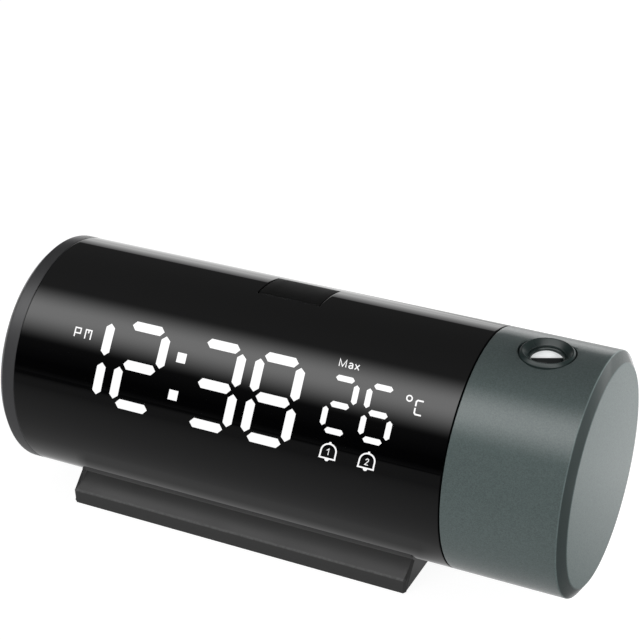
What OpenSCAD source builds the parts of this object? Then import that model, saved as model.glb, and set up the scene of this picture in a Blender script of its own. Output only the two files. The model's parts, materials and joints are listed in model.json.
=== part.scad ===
// Projection alarm clock: a round display tube on a stand, with a projector module that swivels on its end.
// Origin: middle of the footprint, on the table. +X towards the projector, -Y towards the display, +Z up.

/* [Body] */
// Outer radius of the tube and of the projector module
tube_r = 34; // [34:0.5:34]
// Height of the tube's axis above the table
axis_z = 36; // [36:0.5:38]
// Wall of the display tube
tube_wall = 2; // [1.8:0.1:2.2]
// Outer face of the left end cap
left_x = -85; // [-88:0.5:-85]
// Thickness of the visible rim of the left end cap
cap_rim = 5.5; // [5:0.5:6]
// Bevel round the left end cap
cap_bevel = 1.6; // [1:0.1:2]
// Where the tube ends and the projector begins
seam_x = 51; // [51:0.5:51]
// Visible gap between the tube and the projector
seam_gap = 0.4; // [0.3:0.1:0.6]

/* [Projector] */
// Outer face of the projector module
right_x = 85; // [84:0.5:88]
// Length of the bevel on the projector's outer edge
bevel_len = 2; // [1.5:0.1:2.5]
// Depth of that bevel towards the axis
bevel_in = 3.3; // [2.5:0.1:3.5]
// Distance of the lens axis along the body
lens_x = 67.2; // [67.2:0.1:68]
// Lean of the lens towards the front at rest, in degrees
lens_lean = 1.6; // [0:0.1:5]
// Turn of the projector towards the back, in degrees
turn_back = 92; // [60:1:92]
// Turn of the projector towards the front, in degrees
turn_front = 88; // [60:1:88]
// Outer radius of the focus ring
focus_r = 7.6; // [7.5:0.1:8]
// Height of the focus ring above the module's round surface
focus_rise = 0.4; // [0:0.1:0.5]
// Radius of the lens cell
cell_r = 4.95; // [4.95:0.01:4.95]
// Radius of the projection lens
lens_r = 4.2; // [4:0.1:4.3]
// Radius of the swivel hub
hub_r = 9; // [8.5:0.1:9.2]
// Radial play of parts that turn or slide in each other
running_gap = 0.05; // [0.02:0.01:0.08]

/* [Snooze bar] */
// Middle of the snooze bar along the body
snooze_x = -7.15; // [-10:0.05:0]
// Length of the snooze bar along the body
snooze_len = 18.8; // [16:0.1:22]
// Width of the snooze bar across the tube
snooze_w = 13; // [12:0.1:13]
// Angle of its middle above the front horizontal, in degrees
snooze_angle = 96.5; // [94:0.5:98]
// Play round the snooze bar
snooze_gap = 0.25; // [0.2:0.05:0.4]

/* [Rear panel] */
// Left end of the rear panel, seen from the front
panel_x0 = -68; // [-68:0.5:-66]
// Right end of the rear panel, seen from the front
panel_x1 = 44; // [43:0.5:44]
// Half height of the rear panel
panel_h = 12; // [12:0.1:12.5]
// Distance of the panel's flat face from the tube's axis
panel_face_y = 31; // [31:0.1:31]
// Number of buttons
buttons = 6; // [6]
// Middle of the first button
button_x0 = -26; // [-28:0.5:-25]
// Distance from one button to the next
button_pitch = 9.5; // [9.4:0.1:9.6]
// Height of the buttons above the tube's axis
button_z = 5; // [4.5:0.1:5.5]
// Width and height of a button
button_size = [7.2, 5]; // [4:0.1:8]

/* [Display] */
// Angle of the middle of the display above the front horizontal, in degrees
face_angle = 32; // [30:1:34]
// Distance from one large digit to the next
digit_pitch = 17.6; // [17.6:0.1:17.6]
// Distance between the upright strokes of a large digit
digit_w = 12.1; // [11.5:0.1:12.1]
// Stroke width of the large digits
digit_stroke = 2.7; // [2:0.1:2.8]
// Right stroke of the first large digit
digit_x = -51.9; // [-52:0.1:-51.5]
// Distance between the upright strokes of a small digit
small_w = 7.3; // [7:0.1:7.4]
// Distance from one small digit to the next
small_pitch = 11; // [10.8:0.1:11]
// Stroke width of the small digits
small_stroke = 1.55; // [1.4:0.05:1.6]
// Left stroke of the first small digit
small_x = 16.2; // [16:0.1:16.4]

/* [Stand] */
// Left end of the stand
stand_x0 = -65.6; // [-66:0.1:-64]
// Right end of the stand
stand_x1 = 39.6; // [38:0.1:41]
// Half depth of the stand at its ridge
stand_ridge_y = 26.6; // [26.6:0.1:27.5]
// Height of the ridge
stand_ridge_z = 4.6; // [4.4:0.1:5]
// Half depth of the stand where its slope meets the tube
stand_top_y = 22.6; // [22.5:0.1:22.8]
// Height at which the slope meets the tube
stand_top_z = 10.3; // [10.2:0.1:10.4]
// Depth of the hollow in the slope
stand_hollow = 0.5; // [0.3:0.1:0.6]
// Radius of the bead along the top of the slope
stand_bead = 0.6; // [0.5:0.05:0.7]
// Height that the rubber feet lift the stand
foot_lift = 0.3; // [0.3:0.1:0.6]

/* [Hidden] */
$fn = 96;

bore_r = tube_r - tube_wall;
cap_x = left_x + cap_rim;
module_x = seam_x + seam_gap;
eps = 0.01;
board_t = 1.6;

// the display stack, measured outward from the axis along the face angle
board_u = 22.7;
housing_u = board_u + board_t;
housing_r = bore_r - 0.4;
film_t = 0.25;
housing_half = 14.6;
housing_x0 = -67;
housing_x1 = 43.6;

// strokes of the digits, as arcs up the tube's surface in millimetres from the front horizontal
arc_top = 29.67;
arc_middle = 18.45;
arc_bottom = 7.2;
small_top = 28.45;
small_middle = 21.25;
small_bottom = 14.2;

// the bulkhead and the swivel
bulkhead_t = 3.5;
bulkhead_x = seam_x - bulkhead_t;
collar_x = bulkhead_x - 2;
washer_t = 0.8;
washer_x = collar_x - washer_t - 0.03;
ring_t = 0.8;
ring_x = washer_x - ring_t - 0.02;
hub_end_x = ring_x - 0.9;
plate_t = 2.2;
stop_r = 20;
stop_pin_r = 1.5;
stop_depth = 2.2;
stop_spare = asin(stop_pin_r / stop_r) + 0.4;

// the projector, measured outward from the axis along the lens axis
port_floor = 31.5;
boss_bottom = 21.5;
shelf_z = -23;
shelf_t = 2;
lamp_board_z = shelf_z + shelf_t;
optics_z = lamp_board_z + board_t;
optics_top = 24;
optics_r = 6.5;
focus_skirt_r = 6.6;
focus_bottom = optics_top + 0.3;
focus_top = tube_r + focus_rise;
cell_bottom = 20;
cell_top = 32.6;
lens_seat = 31.2;

// the rear panel, measured from the axis towards the back
panel_back_y = panel_face_y - 2.2;
switch_board_y = 22.4;
switch_y = switch_board_y + board_t;
switch_h = 3;
door_x = -49;
speaker_x = 35;
inlet_x = -20;
vent_x = 5;
lower_row_z = -5.5;

main_board_z = -12;
floor_z = -20;

// ---------- helpers ----------

// a cylinder along X, centred on the tube's axis
module disc(x0, x1, r) {
    translate([x0, 0, axis_z]) rotate([0, 90, 0]) cylinder(h = x1 - x0, r = r);
}

// a tube along X on the tube's axis
module sleeve(x0, x1, r_out, r_in) {
    difference() {
        disc(x0, x1, r_out);
        disc(x0 - 1, x1 + 1, r_in);
    }
}

// a box given by its ranges, with heights from the tube's axis
module span(x, y, z) {
    translate([x[0], y[0], axis_z + z[0]]) cube([x[1] - x[0], y[1] - y[0], z[1] - z[0]]);
}

// turns +Z outward at an angle above the front horizontal
module facing(angle) {
    translate([0, 0, axis_z]) rotate([90 - angle, 0, 0]) children();
}

// the projector's own frame: +Z along the lens axis
module leaning() {
    translate([0, 0, axis_z]) rotate([lens_lean, 0, 0]) children();
}

// a rod along Y in the rear panel
module rod_y(x, z, y0, y1, r) {
    translate([x, y1, axis_z + z]) rotate([90, 0, 0]) cylinder(h = y1 - y0, r = r, $fn = 32);
}

function corner(cx, cy, r, from) = [for (i = [0:5]) [cx + r * cos(from + i * 18), cy + r * sin(from + i * 18)]];

// outline of a rectangle with rounded corners
function rounded(w, h, r) = concat(
    corner(w / 2 - r, h / 2 - r, r, 0), corner(-w / 2 + r, h / 2 - r, r, 90),
    corner(-w / 2 + r, -h / 2 + r, r, 180), corner(w / 2 - r, -h / 2 + r, r, 270));

// a rounded slab standing on the rear panel, from y0 to y1
module slab_y(x, z, size, r, y0, y1) {
    translate([x, y1, axis_z + z]) rotate([90, 0, 0])
        linear_extrude(y1 - y0) polygon(rounded(size[0], size[1], r));
}

// a pan-head screw pointing along -Z, its head's underside at the origin
module screw(shank_r, len, head_r, head_h) {
    cylinder(h = head_h, r = head_r, $fn = 32);
    translate([0, 0, -len]) cylinder(h = len + eps, r = shank_r, $fn = 32);
}

// ---------- display ----------

// the seven strokes of a digit: [start, end] of each, as [x, arc]
function strokes(xl, xr, top, mid, bot, gap) = [
    [[xl + gap, top], [xr - gap, top]],
    [[xr, top - gap], [xr, mid + gap]],
    [[xr, mid - gap], [xr, bot + gap]],
    [[xl + gap, bot], [xr - gap, bot]],
    [[xl, mid - gap], [xl, bot + gap]],
    [[xl, top - gap], [xl, mid + gap]],
    [[xl + gap, mid], [xr - gap, mid]]
];

big_gap = 0.85;
small_gap = 0.8;
first_strokes = [for (i = [1, 2])
    strokes(digit_x - digit_w, digit_x, arc_top, arc_middle, arc_bottom, big_gap)[i]];
hour_strokes = strokes(digit_x + digit_pitch - digit_w, digit_x + digit_pitch,
    arc_top, arc_middle, arc_bottom, big_gap);
minute_x = digit_x + 2 * digit_pitch + 5.9;
minute_strokes = [for (n = [0, 1]) each strokes(minute_x + n * digit_pitch - digit_w, minute_x + n * digit_pitch,
    arc_top, arc_middle, arc_bottom, big_gap)];
big_strokes = concat(first_strokes, hour_strokes, minute_strokes);
small_strokes = [for (n = [0, 1]) each strokes(small_x + n * small_pitch, small_x + n * small_pitch + small_w,
    small_top, small_middle, small_bottom, small_gap)];

// light windows behind the colon, the legends and the symbols: [middle x, middle arc, width, height]
windows = [
    [-28.5, 23.8, 2.8, 2.7], [-28.5, 13.3, 2.8, 2.7],
    [-60, 24.05, 5, 3.2], [19, 32.4, 5.6, 2.2],
    [38.2, 27.35, 2, 2], [41.2, 25.4, 2.2, 4],
    [19.2, 8.6, 5, 5.2], [30.2, 8.6, 5, 5.2]
];

// height across the flat housing of a point at an arc up the tube's surface
function across(arc) = housing_r * sin(arc / tube_r * 180 / PI - face_angle);
function flat(p) = [p[0], across(p[1])];

// pointed outline of a stroke from a to b
function stroke_outline(a, b, w) = let (d = (b - a) / norm(b - a), n = [-d[1], d[0]], h = w / 2) [
    a, a + d * h + n * h, b - d * h + n * h, b, b - d * h - n * h, a + d * h - n * h];

module well(s, w) {
    translate([0, 0, housing_u - 1]) linear_extrude(20) polygon(stroke_outline(flat(s[0]), flat(s[1]), w));
}

module window_well(v) {
    translate([v[0], across(v[1]), housing_u - 1]) linear_extrude(20) square([v[2], v[3]], center = true);
}

board_x0 = -71;
board_x1 = 46;
display_screw_spots = [for (x = [housing_x0 + 2, housing_x1 - 1.6]) for (y = [-11, 11]) [x, y]];

module segment_housing() {
    color("white") difference() {
        intersection() {
            disc(housing_x0, housing_x1, housing_r);
            facing(face_angle) translate([housing_x0, -housing_half, housing_u])
                cube([housing_x1 - housing_x0, 2 * housing_half, 12]);
        }
        facing(face_angle) {
            for (s = big_strokes) well(s, digit_stroke);
            for (s = small_strokes) well(s, small_stroke);
            for (v = windows) window_well(v);
            for (p = display_screw_spots) translate([p[0], p[1], housing_u - 1])
                cylinder(h = 4, r = 0.8, $fn = 32);
        }
    }
}

module diffuser_film() {
    color("whitesmoke") intersection() {
        sleeve(housing_x0, housing_x1, housing_r + 0.05 + film_t, housing_r + 0.05);
        facing(face_angle) translate([housing_x0 - 1, -housing_half, housing_u])
            cube([housing_x1 - housing_x0 + 2, 2 * housing_half, 12]);
    }
}

module display_board() {
    color("darkgreen") facing(face_angle) difference() {
        translate([board_x0, -15.5, board_u]) cube([board_x1 - board_x0, 31, board_t]);
        for (p = display_screw_spots) translate([p[0], p[1], board_u - 1]) cylinder(h = 4, r = 1.1, $fn = 32);
    }
}

module display_screws() {
    color("silver") facing(face_angle) for (p = display_screw_spots)
        translate([p[0], p[1], board_u]) rotate([180, 0, 0]) screw(0.8, 3.6, 1.9, 1);
}

module chip(p, turned) {
    translate([p[0], p[1], housing_u + 0.3]) cube(turned ? [0.8, 1.6, 0.6] : [1.6, 0.8, 0.6], center = true);
}

module segment_leds() {
    color("lightyellow") facing(face_angle) {
        for (s = big_strokes, t = [0.3, 0.7]) chip(flat(s[0] + (s[1] - s[0]) * t), s[0][0] == s[1][0]);
        for (s = small_strokes) chip(flat((s[0] + s[1]) / 2), s[0][0] == s[1][0]);
        for (v = windows) chip([v[0], across(v[1])], false);
    }
}

// ---------- body ----------

module snooze_opening(grow) {
    facing(snooze_angle) translate([snooze_x - snooze_len / 2 - grow, -snooze_w / 2 - grow, 20])
        cube([snooze_len + 2 * grow, snooze_w + 2 * grow, 20]);
}

module display_tube() {
    color([0.04, 0.04, 0.05]) difference() {
        sleeve(cap_x, seam_x, tube_r, bore_r);
        snooze_opening(snooze_gap);
        span([panel_x0, panel_x1], [20, 40], [-panel_h, panel_h]);
        for (x = stand_screw_x) translate([x, 0, 0]) cylinder(h = 8, r = 1.9, $fn = 32);
    }
}

module left_end_cap() {
    color([0.24, 0.24, 0.25]) difference() {
        union() {
            translate([left_x, 0, axis_z]) rotate([0, 90, 0]) rotate_extrude()
                polygon([[0, 0], [tube_r - cap_bevel, 0], [tube_r, cap_bevel], [tube_r, cap_rim - 0.3],
                    [tube_r - 0.3, cap_rim], [0, cap_rim]]);
            disc(cap_x - 1, cap_x + 5, bore_r - 0.1);
        }
        disc(left_x + 2.5, cap_x + 6, bore_r - 2.1);
    }
}

bulkhead_screw_r = 27;
bulkhead_screw_angles = [60, 180, 320];

module tube_bulkhead() {
    color("dimgray") difference() {
        union() {
            disc(bulkhead_x, seam_x, bore_r - 0.1);
            disc(collar_x, bulkhead_x + 1, hub_r + 3);
        }
        disc(collar_x - 1, seam_x + 1, hub_r + running_gap);
        // arc that stops the swivel at both ends
        translate([seam_x - stop_depth, 0, axis_z]) rotate([0, 90, 0])
            rotate([0, 0, lens_lean - turn_back - stop_spare])
            rotate_extrude(angle = turn_back + turn_front + 2 * stop_spare)
            translate([stop_r - stop_pin_r - 0.3, 0]) square([2 * stop_pin_r + 0.6, stop_depth + 1]);
        for (a = bulkhead_screw_angles) at_ring(a, bulkhead_screw_r, collar_x) {
            cylinder(h = 8, r = 1.3, $fn = 32);
            translate([0, 0, seam_x - 1.3 - collar_x]) cylinder(h = 8, r = 2.4, $fn = 32);
        }
    }
}

// places a child on a ring round the axis, pointing along +X
module at_ring(angle, r, x) {
    translate([x, 0, axis_z]) rotate([angle, 0, 0]) translate([0, 0, r]) rotate([0, 90, 0]) children();
}

module bulkhead_screws() {
    color("silver") for (a = bulkhead_screw_angles)
        at_ring(a, bulkhead_screw_r, seam_x - 1.3) screw(1.1, 6, 2.2, 1.2);
}

stand_screw_x = [-45, 22];
board_post_x = [-36, 30];
board_post_y = [-14, 18];

module chassis() {
    color([0.16, 0.16, 0.17]) difference() {
        union() {
            span([-72, 46.9], [-22, 22], [floor_z, floor_z + 2]);
            for (x = [-72, 43.9]) intersection() {
                disc(x, x + 3, bore_r - 0.2);
                span([x, x + 3], [-40, 23], [-40, 40]);
            }
            for (x = board_post_x, y = board_post_y) translate([x, y, axis_z + floor_z + 1])
                cylinder(h = main_board_z - floor_z - 1, r = 2.6, $fn = 32);
            for (x = stand_screw_x) translate([x, 0, axis_z - bore_r + 0.3])
                cylinder(h = bore_r + floor_z, r = 4, $fn = 32);
            for (y = [-12, 12]) span([-71, 46], [y - 1, y + 1], [floor_z - 6, floor_z + 0.5]);
        }
        // windows in the end cheeks, the slots for the display board, screw holes
        disc(-80, -60, 15);
        disc(43, 48, 14);
        facing(face_angle) translate([board_x0 - 0.1, -15.6, board_u - 0.05])
            cube([board_x1 - board_x0 + 0.2, 31.2, board_t + 0.1]);
        for (x = board_post_x, y = board_post_y) translate([x, y, axis_z + main_board_z - 6])
            cylinder(h = 8, r = 0.9, $fn = 32);
        for (x = stand_screw_x) translate([x, 0, 0]) cylinder(h = 15, r = 1.1, $fn = 32);
        for (a = bulkhead_screw_angles) at_ring(a, bulkhead_screw_r, 40) cylinder(h = 8, r = 1.1, $fn = 32);
    }
}

module main_board() {
    color("darkgreen") difference() {
        span([-42, 40], [-18, 21], [main_board_z, main_board_z + board_t]);
        for (x = board_post_x, y = board_post_y) translate([x, y, 0]) cylinder(h = 60, r = 1.3, $fn = 32);
    }
}

module main_board_screws() {
    color("silver") for (x = board_post_x, y = board_post_y)
        translate([x, y, axis_z + main_board_z + board_t]) screw(0.9, 6, 2.2, 1.3);
}

module board_components() {
    top = main_board_z + board_t;
    color([0.1, 0.1, 0.1]) {
        span([-16, -4], [-4, 8], [top, top + 1.6]);
        span([8, 14], [-8, -3], [top, top + 1.5]);
        span([33, 39], [-3, 3], [top, top + 3]);
        span([-40, -37.5], [2, 12], [top, top + 3]);
        translate([-26, -10, axis_z + top]) cylinder(h = 8, r = 3.2, $fn = 48);
        translate([-26, 0, axis_z + top]) cylinder(h = 8, r = 3.2, $fn = 48);
        translate([20, 12, axis_z + top]) cylinder(h = 6, r = 2.5, $fn = 48);
        span([2, 12.5], [10, 14], [top, top + 3.4]);
    }
}

module projector_lead() {
    color("crimson") translate([36, 0, axis_z]) {
        translate([4, 0, 0]) rotate([0, 90, 0]) cylinder(h = 14.5, r = 1.2, $fn = 32);
        translate([4, 0, -4]) rotate([90, 0, 0]) rotate([0, 0, 90]) rotate_extrude(angle = 90)
            translate([4, 0]) circle(r = 1.2, $fn = 32);
        translate([0, 0, main_board_z + board_t + 3]) cylinder(h = 3.4, r = 1.2, $fn = 32);
    }
}

// ---------- rear panel ----------

module panel_hole(x, z, size, r) {
    slab_y(x, z, size, r, 20, 40);
}

function grille_spots() = concat([[0, 0]], [for (n = [1, 2], i = [0 : 6 * n - 1])
    [3 * n * cos(i * 60 / n), 3 * n * sin(i * 60 / n)]]);

// the curved rim of the panel, the flange behind the tube's wall and the flat face between them
module panel_tray() {
    difference() {
        union() {
            intersection() {
                disc(panel_x0, panel_x1, tube_r);
                span([panel_x0 + 0.15, panel_x1 - 0.15], [panel_back_y, 40], [-panel_h + 0.15, panel_h - 0.15]);
            }
            intersection() {
                disc(panel_x0 - 3, panel_x1 + 3, bore_r - 0.15);
                span([panel_x0 - 2, panel_x1 + 2], [panel_back_y - 2, 40], [-panel_h - 1.8, panel_h + 1.8]);
            }
        }
        span([panel_x0 + 1.8, panel_x1 - 1.8], [panel_face_y, 40], [-panel_h + 1.6, panel_h - 1.6]);
        span([panel_x0 + 1, panel_x1 - 1], [panel_back_y - 3, panel_back_y], [-panel_h + 0.2, panel_h - 0.2]);
    }
}

module rear_panel() {
    color([0.13, 0.13, 0.14]) difference() {
        union() {
            panel_tray();
            for (x = post_x, z = post_z) rod_y(x, z, switch_y, panel_back_y + 0.5, 2);
        }
        for (n = [0 : buttons - 1]) panel_hole(button_x(n), button_z, button_size + [0.4, 0.4], 1.4);
        panel_hole(inlet_x, lower_row_z, [9.3, 3.6], 1.7);
        for (i = [-1, 0, 1]) panel_hole(vent_x + i * 3, lower_row_z, [1.2, 6], 0.55);
        for (p = grille_spots()) rod_y(speaker_x + p[0], p[1], 20, 40, 0.8);
        span([door_x - 15, door_x + 15], [panel_face_y - 1.4, 40], [-9.6, 9.6]);
        span([door_x - 11, door_x + 11], [20, 40], [-9, 9]);
        rod_y(door_x + 13, 0, 20, 40, 0.9);
        for (x = post_x, z = post_z) rod_y(x, z, switch_y - 1, panel_back_y - 0.5, 0.7);
    }
}

function button_x(n) = button_x0 + n * button_pitch;
post_x = [-31.5, 27.5];
post_z = [-9, 9.6];

module one_button(n) {
    x = button_x(n);
    color([0.3, 0.3, 0.31]) {
        slab_y(x, button_z, button_size, 1.2, panel_back_y - 0.5, panel_face_y + 1);
        slab_y(x, button_z, button_size + [1.4, 1.4], 1.2, panel_back_y - 0.9, panel_back_y - 0.05);
        rod_y(x, button_z, switch_y + switch_h - 0.2, panel_back_y - 0.8, 1.6);
    }
}

module button_1() { one_button(0); }
module button_2() { one_button(1); }
module button_3() { one_button(2); }
module button_4() { one_button(3); }
module button_5() { one_button(4); }
module button_6() { one_button(5); }

module button_board() {
    color("darkgreen") difference() {
        span([-34, 30], [switch_board_y, switch_y], [-11, 11.6]);
        for (x = post_x, z = post_z) rod_y(x, z, switch_board_y - 1, switch_y + 1, 1);
    }
}

module button_board_screws() {
    color("silver") for (x = post_x, z = post_z)
        translate([x, switch_board_y, axis_z + z]) rotate([90, 0, 0]) screw(0.7, 4.5, 1.6, 1);
}

module button_switches() {
    color([0.08, 0.08, 0.08]) for (n = [0 : buttons - 1]) difference() {
        span([button_x(n) - 3, button_x(n) + 3], [switch_y, switch_y + switch_h], [button_z - 3, button_z + 3]);
        rod_y(button_x(n), button_z, switch_y + 1.8, switch_y + switch_h + 1, 1.75);
    }
}

module power_inlet() {
    color("silver") difference() {
        slab_y(inlet_x, lower_row_z, [8.9, 3.2], 1.55, switch_y, panel_face_y);
        difference() {
            slab_y(inlet_x, lower_row_z, [8.3, 2.6], 1.25, switch_y + 1, panel_face_y + 1);
            span([inlet_x - 3.3, inlet_x + 3.3], [switch_y, panel_face_y - 1.2], [lower_row_z - 0.35, lower_row_z + 0.35]);
        }
    }
}

module temperature_sensor() {
    color("black") {
        translate([vent_x, 27, axis_z + lower_row_z]) sphere(r = 1.1, $fn = 32);
        for (dz = [-0.5, 0.5]) rod_y(vent_x, lower_row_z + dz, switch_y, 27, 0.2);
    }
}

module speaker() {
    color([0.2, 0.2, 0.2]) {
        rod_y(speaker_x, 0, panel_back_y - 1.4, panel_back_y, 8);
        rod_y(speaker_x, 0, panel_back_y - 4, panel_back_y - 1.3, 7);
        rod_y(speaker_x, 0, panel_back_y - 6.5, panel_back_y - 3.9, 4.5);
    }
}

module cell_holder() {
    color([0.12, 0.12, 0.12]) difference() {
        intersection() {
            rod_y(door_x, 0, 22, panel_back_y, 11.4);
            disc(-80, -20, bore_r - 0.5);
        }
        rod_y(door_x, 0, 25.3, 40, 10.15);
        span([door_x - 2, door_x + 2], [24, 40], [-20, 20]);
    }
}

module backup_cell() {
    color("silver") {
        rod_y(door_x, 0, 25.3, 28.1, 10);
        rod_y(door_x, 0, 28, 28.5, 8.6);
    }
}

module battery_door() {
    color([0.14, 0.14, 0.15]) difference() {
        union() {
            span([door_x - 14.85, door_x + 14.85], [panel_face_y - 1.4, panel_face_y], [-9.45, 9.45]);
            span([door_x - 10.8, door_x + 10.8], [panel_back_y, panel_face_y - 1.3], [-8.8, 8.8]);
        }
        rod_y(door_x + 13, 0, 20, 40, 1.2);
        for (i = [-2 : 2]) span([door_x - 12.4, door_x - 9], [panel_face_y - 0.4, 40], [i * 3 - 0.5, i * 3 + 0.5]);
    }
}

module battery_door_screw() {
    color("silver") translate([door_x + 13, panel_face_y, axis_z]) rotate([-90, 0, 0]) screw(0.88, 4, 1.8, 0.8);
}

// ---------- snooze ----------

carrier_x0 = snooze_x - 14;
carrier_x1 = snooze_x + 14;
carrier_u = 22.4;

module snooze_bar() {
    color([0.12, 0.12, 0.13]) {
        intersection() {
            sleeve(-40, 30, tube_r, bore_r - 1.3);
            snooze_opening(0);
        }
        intersection() {
            sleeve(-40, 30, bore_r - 0.2, bore_r - 1.6);
            snooze_opening(1.3);
        }
        facing(snooze_angle) translate([snooze_x, 0, carrier_u + 4.8]) cylinder(h = 4, r = 1.6, $fn = 32);
    }
}

module snooze_carrier() {
    color([0.16, 0.16, 0.17]) intersection() {
        disc(-40, 30, bore_r - 0.15);
        facing(snooze_angle) union() {
            translate([carrier_x0, -8, carrier_u - 2]) cube([28, 16, 2]);
            for (x = [carrier_x0, carrier_x1 - 2]) translate([x, -8, carrier_u - 2]) cube([2, 16, 14]);
        }
    }
}

module snooze_switch() {
    color([0.08, 0.08, 0.08]) facing(snooze_angle) translate([snooze_x, 0, carrier_u]) {
        translate([-9, -6, 0]) cube([18, 12, board_t]);
        difference() {
            translate([-3, -3, board_t - eps]) cube([6, 6, 3.5]);
            translate([0, 0, 3.3]) cylinder(h = 4, r = 1.75, $fn = 32);
        }
    }
}

// ---------- stand ----------

module stand_profile() {
    y1 = stand_ridge_y - 0.3;
    polygon([[-y1, foot_lift], [y1, foot_lift], [stand_ridge_y, stand_ridge_z],
        [stand_top_y, stand_top_z], [-stand_top_y, stand_top_z], [-stand_ridge_y, stand_ridge_z]]);
}

// a bite of the given depth out of the line from a to b, as a long rod
function bite_r(a, b, depth) = (norm(b - a) * norm(b - a) / 4 + depth * depth) / (2 * depth);

bead_angle = 49;
pocket_step = 12.6;
pockets = 8;
foot_x = [stand_x0 + 7, stand_x1 - 7];
foot_y = [-20.5, 20.5];

module stand() {
    len = stand_x1 - stand_x0;
    a = [stand_ridge_y - 0.35, stand_ridge_z + 0.5];
    b = [stand_top_y, stand_top_z];
    r = bite_r(a, b, stand_hollow);
    out = [b[1] - a[1], a[0] - b[0]] / norm(b - a);
    centre = (a + b) / 2 + out * (r - stand_hollow);
    bead_ring = tube_r + stand_bead / 2;
    color([0.22, 0.22, 0.22]) difference() {
        union() {
            difference() {
                translate([stand_x0, 0, 0]) rotate([90, 0, 90]) linear_extrude(len) stand_profile();
                for (side = [-1, 1]) translate([stand_x0 - 1, side * centre[0], centre[1]])
                    rotate([0, 90, 0]) cylinder(h = len + 2, r = r);
            }
            for (side = [-1, 1]) translate([stand_x0, side * bead_ring * cos(bead_angle),
                axis_z - bead_ring * sin(bead_angle)]) rotate([0, 90, 0]) cylinder(h = len, r = stand_bead, $fn = 32);
        }
        disc(stand_x0 - 1, stand_x1 + 1, tube_r + 0.05);
        // weight-saving pockets between the ribs underneath
        for (i = [0 : pockets - 1], side = [-1, 1]) if (i > 0 && i < pockets - 1)
            translate([stand_x0 + 1.6 + i * pocket_step + 0.8, 0, 0]) rotate([90, 0, 90])
                linear_extrude(pocket_step - 1.6) polygon([[side * 14.5, 0], [side * 24, 0],
                    [side * 24, 4.6], [side * 20.5, 6], [side * 14.5, 3]]);
        for (x = foot_x, y = foot_y) translate([x, y, 0]) cylinder(h = foot_lift + 0.7, r = 4.6, $fn = 48);
        for (x = stand_screw_x) {
            translate([x, 0, 0]) cylinder(h = 4, r = 1.5, $fn = 32);
            translate([x, 0, 0]) cylinder(h = 1, r = 3.1, $fn = 32);
        }
    }
}

module rubber_feet() {
    color([0.05, 0.05, 0.05]) for (x = foot_x, y = foot_y) translate([x, y, 0])
        cylinder(h = foot_lift + 0.7, r = 4.5, $fn = 48);
}

module stand_screws() {
    color("silver") for (x = stand_screw_x) translate([x, 0, 1]) rotate([180, 0, 0]) screw(1.1, 9, 2.8, 0.65);
}

// ---------- projector ----------

boss_angles = [45, 135, 225, 315];
boss_ring_r = 27;

module projector_housing() {
    cup = right_x - module_x;
    color([0.36, 0.42, 0.41]) difference() {
        union() {
            difference() {
                translate([module_x, 0, axis_z]) rotate([0, 90, 0]) rotate_extrude()
                    polygon([[0, 0], [tube_r - 0.3, 0], [tube_r, 0.3], [tube_r, cup - bevel_len],
                        [tube_r - bevel_in, cup], [0, cup]]);
                translate([module_x - 1, 0, axis_z]) rotate([0, 90, 0]) rotate_extrude()
                    polygon([[0, 0], [bore_r, 0], [bore_r, cup - bevel_len], [bore_r - bevel_in, cup - 1.4],
                        [0, cup - 1.4]]);
            }
            leaning() intersection() {
                translate([lens_x, 0, boss_bottom]) cylinder(h = 12, r = 9.4);
                rotate([0, 90, 0]) cylinder(h = right_x, r = tube_r - 0.5);
            }
            leaning() for (a = boss_angles) rotate([a, 0, 0]) translate([module_x + plate_t, 0, boss_ring_r])
                rotate([0, 90, 0]) cylinder(h = cup - plate_t - 1, r = 3, $fn = 32);
        }
        leaning() {
            translate([lens_x, 0, port_floor]) cylinder(h = 6, r = focus_r + 0.2);
            translate([lens_x, 0, boss_bottom - 1]) cylinder(h = 20, r = focus_skirt_r + running_gap);
            for (a = boss_angles) rotate([a, 0, 0]) translate([module_x, 0, boss_ring_r])
                rotate([0, 90, 0]) cylinder(h = 14, r = 0.9, $fn = 32);
        }
    }
}

module projector_plate() {
    color([0.2, 0.2, 0.21]) {
        difference() {
            union() {
                disc(module_x, module_x + plate_t, bore_r - 0.1);
                disc(hub_end_x, module_x + 1, hub_r);
            }
            disc(hub_end_x - 1, module_x + 0.8, hub_r - 2.5);
            disc(module_x, module_x + plate_t + 1, 1.3);
            // groove for the retaining ring
            sleeve(ring_x, ring_x + ring_t + 0.02, hub_r + 1, hub_r - 0.8);
            leaning() for (a = boss_angles) rotate([a, 0, 0]) translate([module_x - 1, 0, boss_ring_r])
                rotate([0, 90, 0]) {
                    cylinder(h = 5, r = 1.2, $fn = 32);
                    cylinder(h = 1.9, r = 2.2, $fn = 32);
                }
        }
        leaning() {
            translate([module_x - stop_depth + 0.3, 0, -stop_r]) rotate([0, 90, 0])
                cylinder(h = stop_depth, r = stop_pin_r, $fn = 32);
            difference() {
                translate([module_x + plate_t - 0.5, -11, shelf_z]) cube([27, 22, shelf_t]);
                for (dx = [-8.2, 8.2]) translate([lens_x + dx, 0, shelf_z - 1]) cylinder(h = 4, r = 0.8, $fn = 32);
            }
        }
    }
}

module projector_screws() {
    color("silver") leaning() for (a = boss_angles) rotate([a, 0, 0])
        translate([module_x + 0.9, 0, boss_ring_r]) rotate([0, -90, 0]) screw(0.9, 9, 2, 0.8);
}

module friction_washer() {
    color("silver") sleeve(washer_x, washer_x + washer_t, hub_r + 2.6, hub_r + 0.1);
}

module retaining_ring() {
    color("gray") difference() {
        sleeve(ring_x + 0.01, ring_x + ring_t, hub_r + 1.8, hub_r - 0.78);
        span([ring_x - 1, ring_x + 2], [-2, 2], [0, 20]);
    }
}

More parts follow.
